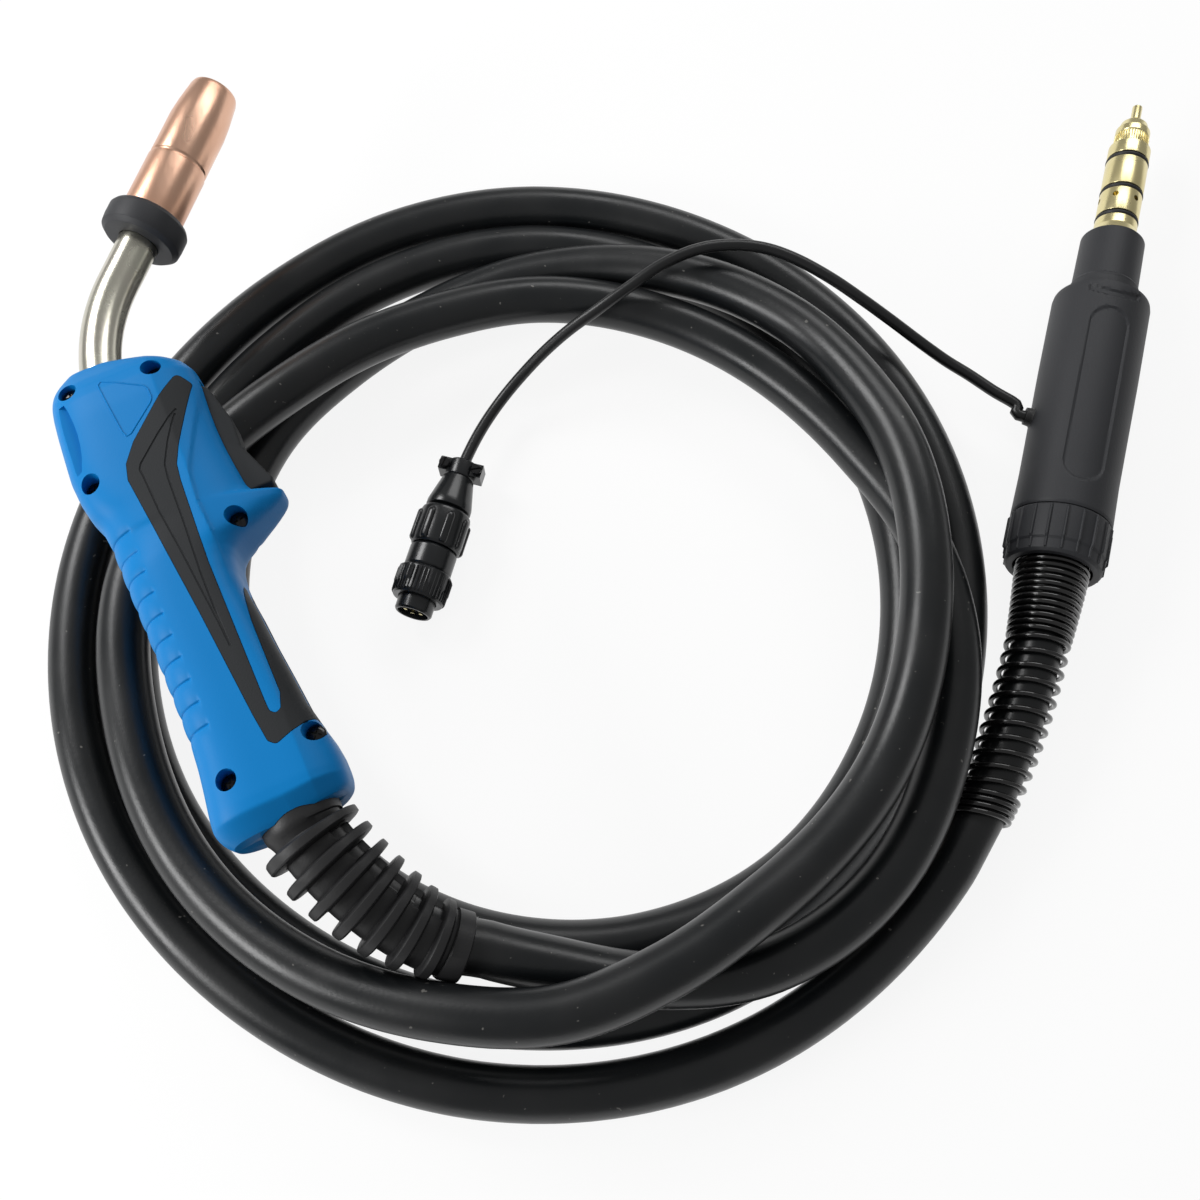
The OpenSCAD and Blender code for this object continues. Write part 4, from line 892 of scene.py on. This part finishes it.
def joined(shapes):
    # several solids that don't meet, as one cutter
    points, faces = [], []
    for p, f in shapes:
        faces += [tuple(i + len(points) for i in g) for g in f]
        points += list(p)
    return points, faces


inlayRound = softened([tuple(p) for p in inlayOutline], 2.0, 4)
grooveSteps = (-3.4, -2.6, -1.9, -1.3, -0.8, -0.5, -0.3, -0.15, 0, 0.15, 0.3, 0.5, 0.8, 1.3, 1.9, 2.6, 3.4)
shellYs = sorted(set(list(np.arange(-2.0, handle["end"], 2.0)) + [handle["end"]]
                     + [handle["grooveFirst"] + k * handle["groovePitch"] + d
                        for k in range(handle["grooveCount"]) for d in grooveSteps]
                     + list(np.arange(-2.0, 10.0, 0.5)) + list(np.arange(99.0, 121.0, 0.6))
                     + list(np.arange(176.0, handle["end"], 0.75))))
shellYs = [y for i, y in enumerate(shellYs) if i == 0 or y - shellYs[i - 1] > 0.12]
shellPoints, shellFaces = handleHalf(0.0, shellYs)
coreYs = list(np.arange(5.0, 186.5, 2.0))
innerPoints, innerFaces = handleHalf(-handle["wall"], coreYs, False)
corePoints = [(x, y, z if z > 0.01 else -3.0) for x, y, z in innerPoints]


def onTop(outline, closed=True, out=0.0):
    # the outline's points laid on the upper face
    loop = list(outline) + ([outline[0]] if closed else [])
    dense = evenly([(x, y, 0) for x, y in loop], 1.0)
    return [Vector((p[0], p[1], topHeight(p[0], p[1], out) + out * 0.9)) for p in dense]


# radii and half heights of what is cut out of the shells and inlays, and a height above all of them
room = {
    "trigger": 7.8, "block": 11.6, "neck": 8.2, "boot": 14.6, "cable": 11.5, "switch": 5.1, "pin": 2.06,
    "pinHalf": 12.3, "screw": 3.85, "screwInInlay": 4.3, "panelLine": 0.3, "inlayLine": 0.52, "above": 30.0,
}
pinAt = (19.5, 166.5)
switchRoom = [(7.9, 131.9), (22, 131.9), (22, 148.1), (7.9, 148.1)]
cableInHandle = [(neckX, 74, 0), (-9.6, 58, 0), (-5.6, 40, 0), (-1.8, 24, 0), (0, 11, 0)]


def shellCuts(side):
    shapes = [
        prism(triggerSlot, -room["trigger"], room["trigger"]),
        tubeMesh([(neckX, y, 0) for y in (71.0, 100.0, 166.4)], room["block"], 48),
        tubeMesh(neckPath(165.0, 4.5), room["neck"], 48),
        tubeMesh([(0, y, 0) for y in (-9.0, 0.0, 13.0)], room["boot"], 64),
        tubeMesh(cableInHandle, room["cable"], 48), prism(switchRoom, -room["switch"], room["switch"]),
        rodUp(*pinAt, -room["pinHalf"], room["pinHalf"], room["pin"], 32),
        joined([rodUp(x, y, z, room["above"], room["screw"]) for x, y, z in handle["screws"]]),
        loopTube(onTop(softened(panelOutline, 1.5, 3))[:-1], room["panelLine"]),
        prism(thumbHollow, hollowFloor, room["above"]),
    ]
    return [(onSide(side, p), f) for p, f in shapes]


def makeShell(name, node, side):
    shell = makePiece(name, onSide(side, shellPoints), shellFaces, node, torchPlace, 28.0)
    workOn(shell.data, intoTriangles)
    cut(shell, shellCuts(side), torchPlace)
    # the inlay's bed: the prism less the form that lies under it
    points, faces = prism(inlayRound, 2.0, 40.0)
    bed = helperObject("bed", onSide(side, points), faces, torchPlace)
    cut(bed, [(onSide(side, corePoints), innerFaces)], torchPlace)
    cutWith(shell, bed)
    finish(shell, node, 28.0)


makeShell("handle_top_shell", "handle_upper", 1)
makeShell("handle_bottom_shell", "handle_lower", -1)
print("handle shells")

# grip inlays: the handle's form grown a little, kept inside the outline, with engraved lines
inlayInner = offsetOutline(inlayRound, handle["inlayGap"])
proud = handle["inlayProud"]
outerPoints, outerFaces = handleHalf(proud, [y for y in np.arange(10.0, 186.01, 1.5)], False)
underPoints, underFaces = handleHalf(-handle["wall"] + 0.1, coreYs, False)
underPoints = [(x, y, z if z > 0.01 else -3.0) for x, y, z in underPoints]
engraved = [
    [(13.9, 159.6), (4.5, 151.4), (-5.0, 142.3), (-6.1, 140.1), (-5.7, 137.7), (-4.8, 120.9), (-2.7, 104.4),
     (-1.0, 87.5), (0.6, 72.3), (1.4, 62)],
    [(12.9, 157.6), (7.1, 147.4), (3.0, 138.5), (2.3, 132.4), (1.9, 114.1), (1.0, 91.5), (1.0, 77.0),
     (1.4, 64)],
]


def makeInlay(name, node, side):
    inlay = makePiece(name, onSide(side, outerPoints), outerFaces, node, torchPlace, 28.0)
    points, faces = prism(inlayInner, 3.0, 40.0)
    cut(inlay, [(onSide(side, points), faces)], torchPlace, "INTERSECT")
    shapes = [(underPoints, underFaces), prism(triggerSlot, -room["trigger"], room["trigger"]),
              joined([rodUp(x, y, 0.0, room["above"], room["screwInInlay"]) for x, y, z in handle["screws"]])]
    shapes += [tubeMesh(onTop(line, False, proud), room["inlayLine"], 8) for line in engraved]
    cut(inlay, [(onSide(side, p), f) for p, f in shapes], torchPlace)
    finish(inlay, node, 28.0)


makeInlay("grip_top", "grip_inlay_upper", 1)
makeInlay("grip_bottom", "grip_inlay_lower", -1)
print("inlays")

# trigger

triggerShape = {
    "outline": [(16, 169.5), (18, 171.6), (24, 172.2), (26.4, 170.6), (27.6, 166.4), (30.6, 153.4),
                (30.4, 147),
                (30.1, 141), (34.2, 129.4), (36.4, 123.8), (35.8, 121.6), (24.5, 121.4), (23.6, 124),
                (21.8, 146), (17, 158), (15, 165)],
    "halfWidth": 7.5, "edge": 1.4, "flutes": [(36.1, 127.5), (34.9, 131.5), (33.8, 135.5)], "fluteR": 1.5,
}
trigger = makePiece("trigger", *prism(softened(triggerShape["outline"], 1.2, 4), -triggerShape["halfWidth"],
                                      triggerShape["halfWidth"]), "trigger_lever", torchPlace)
edge = trigger.modifiers.new("edge", "BEVEL")
edge.width = triggerShape["edge"] * mm
edge.segments = 4
edge.limit_method = "ANGLE"
edge.angle_limit = math.radians(60)
rounded = bpy.data.meshes.new_from_object(trigger.evaluated_get(bpy.context.evaluated_depsgraph_get()))
trigger.modifiers.clear()
trigger.data = rounded
cut(trigger, [rodUp(*pinAt, -9, 9, room["pin"], 32)], torchPlace)
cut(trigger, [rodUp(x, y, -9, 9, triggerShape["fluteR"], 32) for x, y in triggerShape["flutes"]], torchPlace)
smooth(trigger, 30.0)

# shell screws: one screw, copied onto each of its places

screw = {
    "profile": [(0, -12.6), (1.5, -12.6), (1.5, 0), (3.1, 0.05), (3.5, 0.5), (3.45, 1.0), (2.9, 1.6),
                (1.6, 1.95), (0, 2.0)],
    "lift": 0.05, "slotHalf": (1.9, 0.42), "slotFloor": 1.1, "turns": (20, 65, 110, 35, 80, 5),
}
screwBody = turned(screw["profile"], 40)
screwPart = helperObject("screwPart", *screwBody)
a, b = screw["slotHalf"]
for u, v in ((a, b), (b, a)):
    cut(screwPart, [prism([(-u, -v), (u, -v), (u, v), (-u, v)], screw["slotFloor"], 3.0)], Matrix.Identity(4))
screwPlaces = [torchPlace @ Vector((x, y, z + screw["lift"])) for x, y, z in handle["screws"]]
grow("shell_screws", pointsMesh("screwPlaces", screwPlaces, [(0, 0, t) for t in screw["turns"]]),
     copiesOnPoints, {"Part": screwPart}, "handle_screws")
dropHelper(screwPart)
print("trigger and screws")

# rear plug

nutL = 21.0
housingS = nutL + 0.3
housingL = 109.0
housingR = 20.5
housingEnd = housingS + housingL
sleeveS = housingEnd + 6.0
sleeveL = 28.0
pinS = sleeveS + sleeveL
pinL = 53.0
pinR = 9.25
pinRootR = 10.1


def stadium(u, v, halfWidth, low, high, edge=0.7):
    # how deep inside a round-ended panel a place lies, from 0 outside to 1 inside
    v = max(0.0, low + halfWidth - v, v - (high - halfWidth))
    return step01(math.hypot(u, v), halfWidth + edge / 2, halfWidth - edge / 2)


def housingShape(r, s, a):
    if r < 19.0 or s < housingS + 1:
        return r
    depth = 0.0
    for centre in (math.pi / 2, -math.pi / 2):
        off = (a - centre + math.pi) % (2 * math.pi) - math.pi
        u = off * r
        depth = max(depth, 0.8 * stadium(u, s, 8.5, housingS + 12, housingEnd - 14))
        slot = 0.8 * step01(abs(u), 11.5, 11.0) * step01(abs(s - (housingEnd - 7 + 0.02 * u * u)), 1.7, 1.2)
        depth = max(depth, slot)
    return r - depth


housingProfile = [(10.6, housingS - 11), (17.5, housingS - 11), (17.5, housingS), (19.9, housingS)]
for s in np.arange(housingS + 0.8, housingEnd - 1.9, 0.7):
    r = float(np.interp(s, [housingS + 1, housingS + 20, housingS + 70, housingEnd],
                        [20.3, 20.0, 20.5, 20.5]))
    housingProfile.append((r, float(s)))
housingProfile += [(20.2, housingEnd - 0.8), (19.0, housingEnd), (15.6, housingEnd + 0.3),
                   (15.2, housingEnd + 6),
                   (10.15, housingEnd + 6), (10.15, housingEnd - 4), (16.5, housingEnd - 8),
                   (16.5, housingS - 6), (10.6, housingS - 7)]
housing = lathe("rear_housing", housingProfile, "connector_housing", rearPlace, 240, housingShape, soft=0,
                flatAngle=30.0)
holePath = [Vector((x, 67.0, 0.0)) for x in (-22.0, -18.0, -14.0)]
cut(housing, [tubeMesh(holePath, 4.55, 32)], rearPlace)
smooth(housing, 30.0)


springNut = lathe("spring_collar", [
    (15.7, 0), (18.4, 0), (19.3, 1.2), (19.4, 5.2), (20.0, 6.2), (20.05, 7), (20.2, nutL - 0.8),
    (19.8, nutL), (17.8, nutL),
    (17.8, housingS - 11.3), (15.7, 6.6)], "spring_nut", rearPlace, 144, soft=0.3, flatAngle=30.0)
nutRib = ribPart([(0.6, 17.4, 18.5, 0.5), (1.6, 18.6, 19.95, 0.55), (5.6, 18.8, 20.1, 0.6),
                  (6.6, 19.4, 20.95, 0.6), (nutL - 1.4, 19.5, 20.95, 0.6), (nutL - 0.5, 19.2, 20.3, 0.5)])
springNut = growRibs(springNut, nutRib, 20, 9, rearPlace, "spring_nut", 30.0)
lathe("rear_sleeve", [
    (10.15, sleeveS), (14.7, sleeveS), (14.7, sleeveS + 1.4), (14, sleeveS + 2.4), (13.7, pinS - 1),
    (12.8, pinS), (10.15, pinS)], "connector_sleeve", rearPlace, 128, soft=0.4)
ringAt = (11.0, 26.0, 44.0)
pinProfile = [(2.3, 84.05), (pinRootR, 84.05), (pinRootR, pinS + 0.1), (pinR + 1.5, pinS + 0.1),
              (pinR + 1.5, pinS + 1.6), (pinR, pinS + 5.5)]
for s in ringAt:
    pinProfile += [(pinR, pinS + s - 1.3), (pinR - 1.85, pinS + s - 1.3), (pinR - 1.85, pinS + s + 1.3),
                   (pinR, pinS + s + 1.3)]
pinProfile += [(pinR, pinS + pinL - 1), (pinR - 1, pinS + pinL), (2.3, pinS + pinL)]
rearPin = lathe("rear_brass_pin", pinProfile, "rear_pin", rearPlace, 128, soft=0.15)
gasHoles = []
for a in range(30, 360, 60):
    d = Vector((math.sin(math.radians(a)), 0, math.cos(math.radians(a))))
    path = [Vector((0, pinS + 20.6, 0)) + d * r for r in (5.0, 8.0, 11.0)]
    if abs(d.z) < 0.99:
        gasHoles.append(tubeMesh(path, 1.3, 24))
cut(rearPin, gasHoles, rearPlace)
smooth(rearPin, 35.0)
ringPlaces = [rearPlace @ Vector((0, pinS + s, 0)) for s in ringAt]
grow("seal_rings", pointsMesh("ringPlaces", ringPlaces, [(90, 0, -16.3)] * 3), ringsOnPoints,
     {"Ring Radius": (pinR - 0.82) * mm, "Section Radius": 1.0 * mm}, "o_rings", 60.0)
nutS = pinS + pinL + 0.3


linerNut = lathe("liner_cap", [
    (2.5, nutS), (6.9, nutS), (7.25, nutS + 0.5), (7.25, nutS + 6), (7.6, nutS + 6.6), (7.6, nutS + 9.6),
    (6.8, nutS + 10.2), (6.0, nutS + 13.5), (4.2, nutS + 15.5), (2.5, nutS + 15.5)], "liner_nut", rearPlace,
    96, soft=0.3)
capRib = ribPart([(nutS + 0.5, 6.9, 7.3, 0.2), (nutS + 1.0, 6.9, 7.65, 0.32), (nutS + 5.8, 6.9, 7.65, 0.32),
                  (nutS + 6.3, 6.9, 7.5, 0.3)], 3)
linerNut = growRibs(linerNut, capRib, 44, 0, rearPlace, "liner_nut")
lathe("liner_pipe", [
    (1.3, nutS - 9), (2.2, nutS - 9), (2.2, nutS + 25), (1.3, nutS + 25)], "liner_tube", rearPlace, 48,
    soft=0.2)
sideways = Matrix.Rotation(math.radians(90), 4, "Z")
grommetPlace = rearPlace @ Matrix.Translation((-housingR + 4.6, 67.0, 0)) @ sideways
lathe("lead_seal", [
    (2.55, 0), (4.5, 0), (4.5, 4.2), (4.0, 4.6), (3.7, 7), (2.55, 7)], "lead_grommet", grommetPlace, 48,
    soft=0.2)
print("rear plug")

# control plug

clampBody = lathe("plug_clamp_piece", [
    (2.7, 0.5), (5.8, 0.5), (6.25, 1.2), (6.25, 7.4), (5.8, 8), (2.7, 8)], "plug_clamp", plugPlace, 64,
    soft=0.3)
ears = []
for side in (-1, 1):
    x0, x1 = sorted((side * 3.6, side * 9.4))
    ears.append(prism(softened([(x0, 1), (x1, 1), (x1, 7), (x0, 7)], 0.8, 4), -4.2, 4.2))
cut(clampBody, ears, plugPlace, "UNION")
cut(clampBody, [rodUp(side * 7, 4, -6, 6, 1.3, 24) for side in (-1, 1)], plugPlace)
cut(clampBody, [tubeMesh([Vector((0, y, 0)) for y in (-1.0, 4.0, 9.0)], 2.7, 32)], plugPlace)
smooth(clampBody, 35.0)
boltBody = turned([(0, -4), (1.25, -4), (1.25, 4.25), (2.1, 4.3), (2.3, 4.6), (2.3, 5.6), (2.0, 5.95),
                   (0, 5.95)], 32)
boltPart = helperObject("boltPart", *boltBody)
cut(boltPart, [prism([(-3, -0.4), (3, -0.4), (3, 0.4), (-3, 0.4)], 5.2, 8)], Matrix.Identity(4))
boltPlaces = [plugPlace @ Vector((side * 7, 4, 0)) for side in (-1, 1)]
boltPoints = pointsMesh("boltPlaces", boltPlaces, [(0, 0, 190), (0, 0, 250)])
clampScrews = grow("plug_clamp_bolts", boltPoints, copiesOnPoints, {"Part": boltPart}, "plug_clamp_screws")
dropHelper(boltPart)
backshell = lathe("plug_cone", [
    (2.7, 8.05), (6.2, 8.05), (6.7, 8.6), (9.3, 19.5), (9.6, 21), (9.6, 23), (7.5, 24), (7.5, 39), (2.7, 39)],
    "plug_backshell", plugPlace, 96, soft=0.4)


backNut = lathe("plug_rear_nut", [
    (7.8, 24.3), (9.6, 24.3), (10.4, 25.2), (10.7, 26.4), (10.8, 38), (10.6, 40.6), (10, 41.7), (7.8, 41.7)],
    "plug_back_nut", plugPlace, 96, soft=0.4, flatAngle=30.0)
gripRib = ribPart([(26.6, 10.2, 10.6, 0.5), (27.0, 10.2, 11.3, 1.0), (27.8, 10.2, 11.8, 1.5),
                   (29.0, 10.2, 11.85, 1.7),
                   (39.6, 10.2, 11.85, 1.7), (40.4, 10.2, 11.5, 1.6), (40.9, 10.0, 10.9, 1.4)], 9)
backNut = growRibs(backNut, gripRib, 8, 22, plugPlace, "plug_back_nut", 30.0)
plugBarrel = lathe("plug_body", [
    (0, 39.1), (7.1, 39.1), (7.1, 42), (9.4, 42), (10, 43), (10, 51), (9.4, 52), (7.8, 52), (7.8, 70.2),
    (7.2, 71), (6.4, 71), (6.4, 63), (0, 63)], "plug_barrel", plugPlace, 96, soft=0.25)


def couplingShape(r, s, a):
    lobes = 0.5 + 0.5 * math.cos(4 * (a - math.pi / 4))
    return r + 0.6 * step01(lobes, 0.35, 0.6) * step01(s, 60.5, 59.5) if r > 10.5 and s < 64.2 else r


couplingRing = lathe("plug_ring", [
    (8.1, 52.3), (10.4, 52.3), (11.0, 53.1), (11.05, 54)] + [(11.05, s) for s in np.arange(55, 64, 0.7)] + [
    (10.4, 65), (8.1, 65)], "plug_coupling_ring", plugPlace, 192, couplingShape, soft=0.2, flatAngle=30.0)
ringRib = ribPart([(53.6, 10.6, 11.3, 0.25), (54.2, 10.6, 11.75, 0.36), (59.4, 10.6, 11.75, 0.36),
                   (60.4, 10.6, 11.5, 0.34), (63.6, 10.5, 11.4, 0.32), (64.2, 10.4, 11.1, 0.2)], 3)
couplingRing = growRibs(couplingRing, ringRib, 44, 0, plugPlace, "plug_coupling_ring", 30.0)
for name, piece in frame["nodes"].items():
    if not piece.hide_render:
        piece.data.materials.clear()
        piece.data.materials.append(finishOfSlot[slotOfNode[name]])
        smooth(piece, 35.0)
print("control plug")

# bench, light and camera


def mixShaders(tree, amount, first, second, target):
    mixer = tree.nodes.new("ShaderNodeMixShader")
    connect(tree, (amount, mixer.inputs[0]), (first.outputs[0], mixer.inputs[1]),
            (second.outputs[0], mixer.inputs[2]), (mixer.outputs[0], target.inputs["Surface"]))


def seenOrMirrored(tree):
    # 1 for a ray from the camera, or one that a piece mirrors or lets through
    ray = tree.nodes.new("ShaderNodeLightPath")
    last = ray.outputs["Is Camera Ray"]
    for name in ("Is Glossy Ray", "Is Transmission Ray"):
        pick = tree.nodes.new("ShaderNodeMath")
        pick.operation = "MAXIMUM"
        connect(tree, (last, pick.inputs[0]), (ray.outputs[name], pick.inputs[1]))
        last = pick.outputs[0]
    return last


benchHalf, benchZ = 4, -0.0005
benchGlow, benchShare, benchGrey, skyStrength = 1.03, 0.86, 0.82, 0.3
bench = bpy.data.meshes.new("bench")
corners = [(x * benchHalf, y * benchHalf, benchZ) for x, y in ((-1, -1), (1, -1), (1, 1), (-1, 1))]
bench.from_pydata(corners, [], [(0, 1, 2, 3)])
floor = bpy.data.objects.new("bench", bench)
bpy.context.scene.collection.objects.link(floor)
white = bpy.data.materials.new("benchWhite")
white.use_nodes = True
tree = white.node_tree
keep = tree.nodes.new("ShaderNodeMath")
keep.operation = "MULTIPLY"
keep.inputs[1].default_value = benchShare
connect(tree, (seenOrMirrored(tree), keep.inputs[0]))
glow = tree.nodes.new("ShaderNodeEmission")
setInputs(glow, Strength=benchGlow)
shader = tree.nodes["Principled BSDF"]
setInputs(shader, Base_Color=(benchGrey, benchGrey, benchGrey, 1), Roughness=0.9, Specular_IOR_Level=0.0)
mixShaders(tree, keep.outputs[0], shader, glow, tree.nodes["Material Output"])
bench.materials.append(white)

world = bpy.data.worlds.new("studio")
bpy.context.scene.world = world
world.use_nodes = True
tree = world.node_tree
sky, plain = tree.nodes["Background"], tree.nodes.new("ShaderNodeBackground")
setInputs(sky, Color=(1, 1, 1, 1), Strength=skyStrength)
setInputs(plain, Color=(1, 1, 1, 1))
ray = tree.nodes.new("ShaderNodeLightPath")
mixShaders(tree, ray.outputs["Is Camera Ray"], sky, plain, tree.nodes["World Output"])


def softbox(name, at, towards, width, height, power):
    light = bpy.data.lights.new(name, "AREA")
    light.shape = "RECTANGLE"
    light.size, light.size_y, light.energy = width, height, power
    lamp = bpy.data.objects.new(name, light)
    lamp.location = at
    lamp.rotation_euler = (Vector(towards) - Vector(at)).to_track_quat("-Z", "Y").to_euler()
    bpy.context.scene.collection.objects.link(lamp)
    lamp.visible_camera = False


softbox("keyBox", (-0.95, 0.62, 0.95), (-0.05, 0, 0), 0.6, 0.5, 9.5)
softbox("sideBox", (-0.9, -0.4, 0.5), (-0.12, 0, 0.03), 0.5, 0.3, 6.0)
softbox("fillBox", (0.35, 1.0, 0.95), (0, 0, 0), 1.0, 0.4, 5.0)

cameraData = bpy.data.cameras.new("camera")
cameraData.sensor_width = 36.0
cameraData.lens = 38.61
camera = bpy.data.objects.new("camera", cameraData)
camera.location = (-0.020, -0.2254, 0.5093)
camera.rotation_euler = (math.radians(20.0), 0, 0)
bpy.context.scene.collection.objects.link(camera)
bpy.context.scene.camera = camera
bpy.context.scene.view_settings.view_transform = "Standard"

print("scene ready")
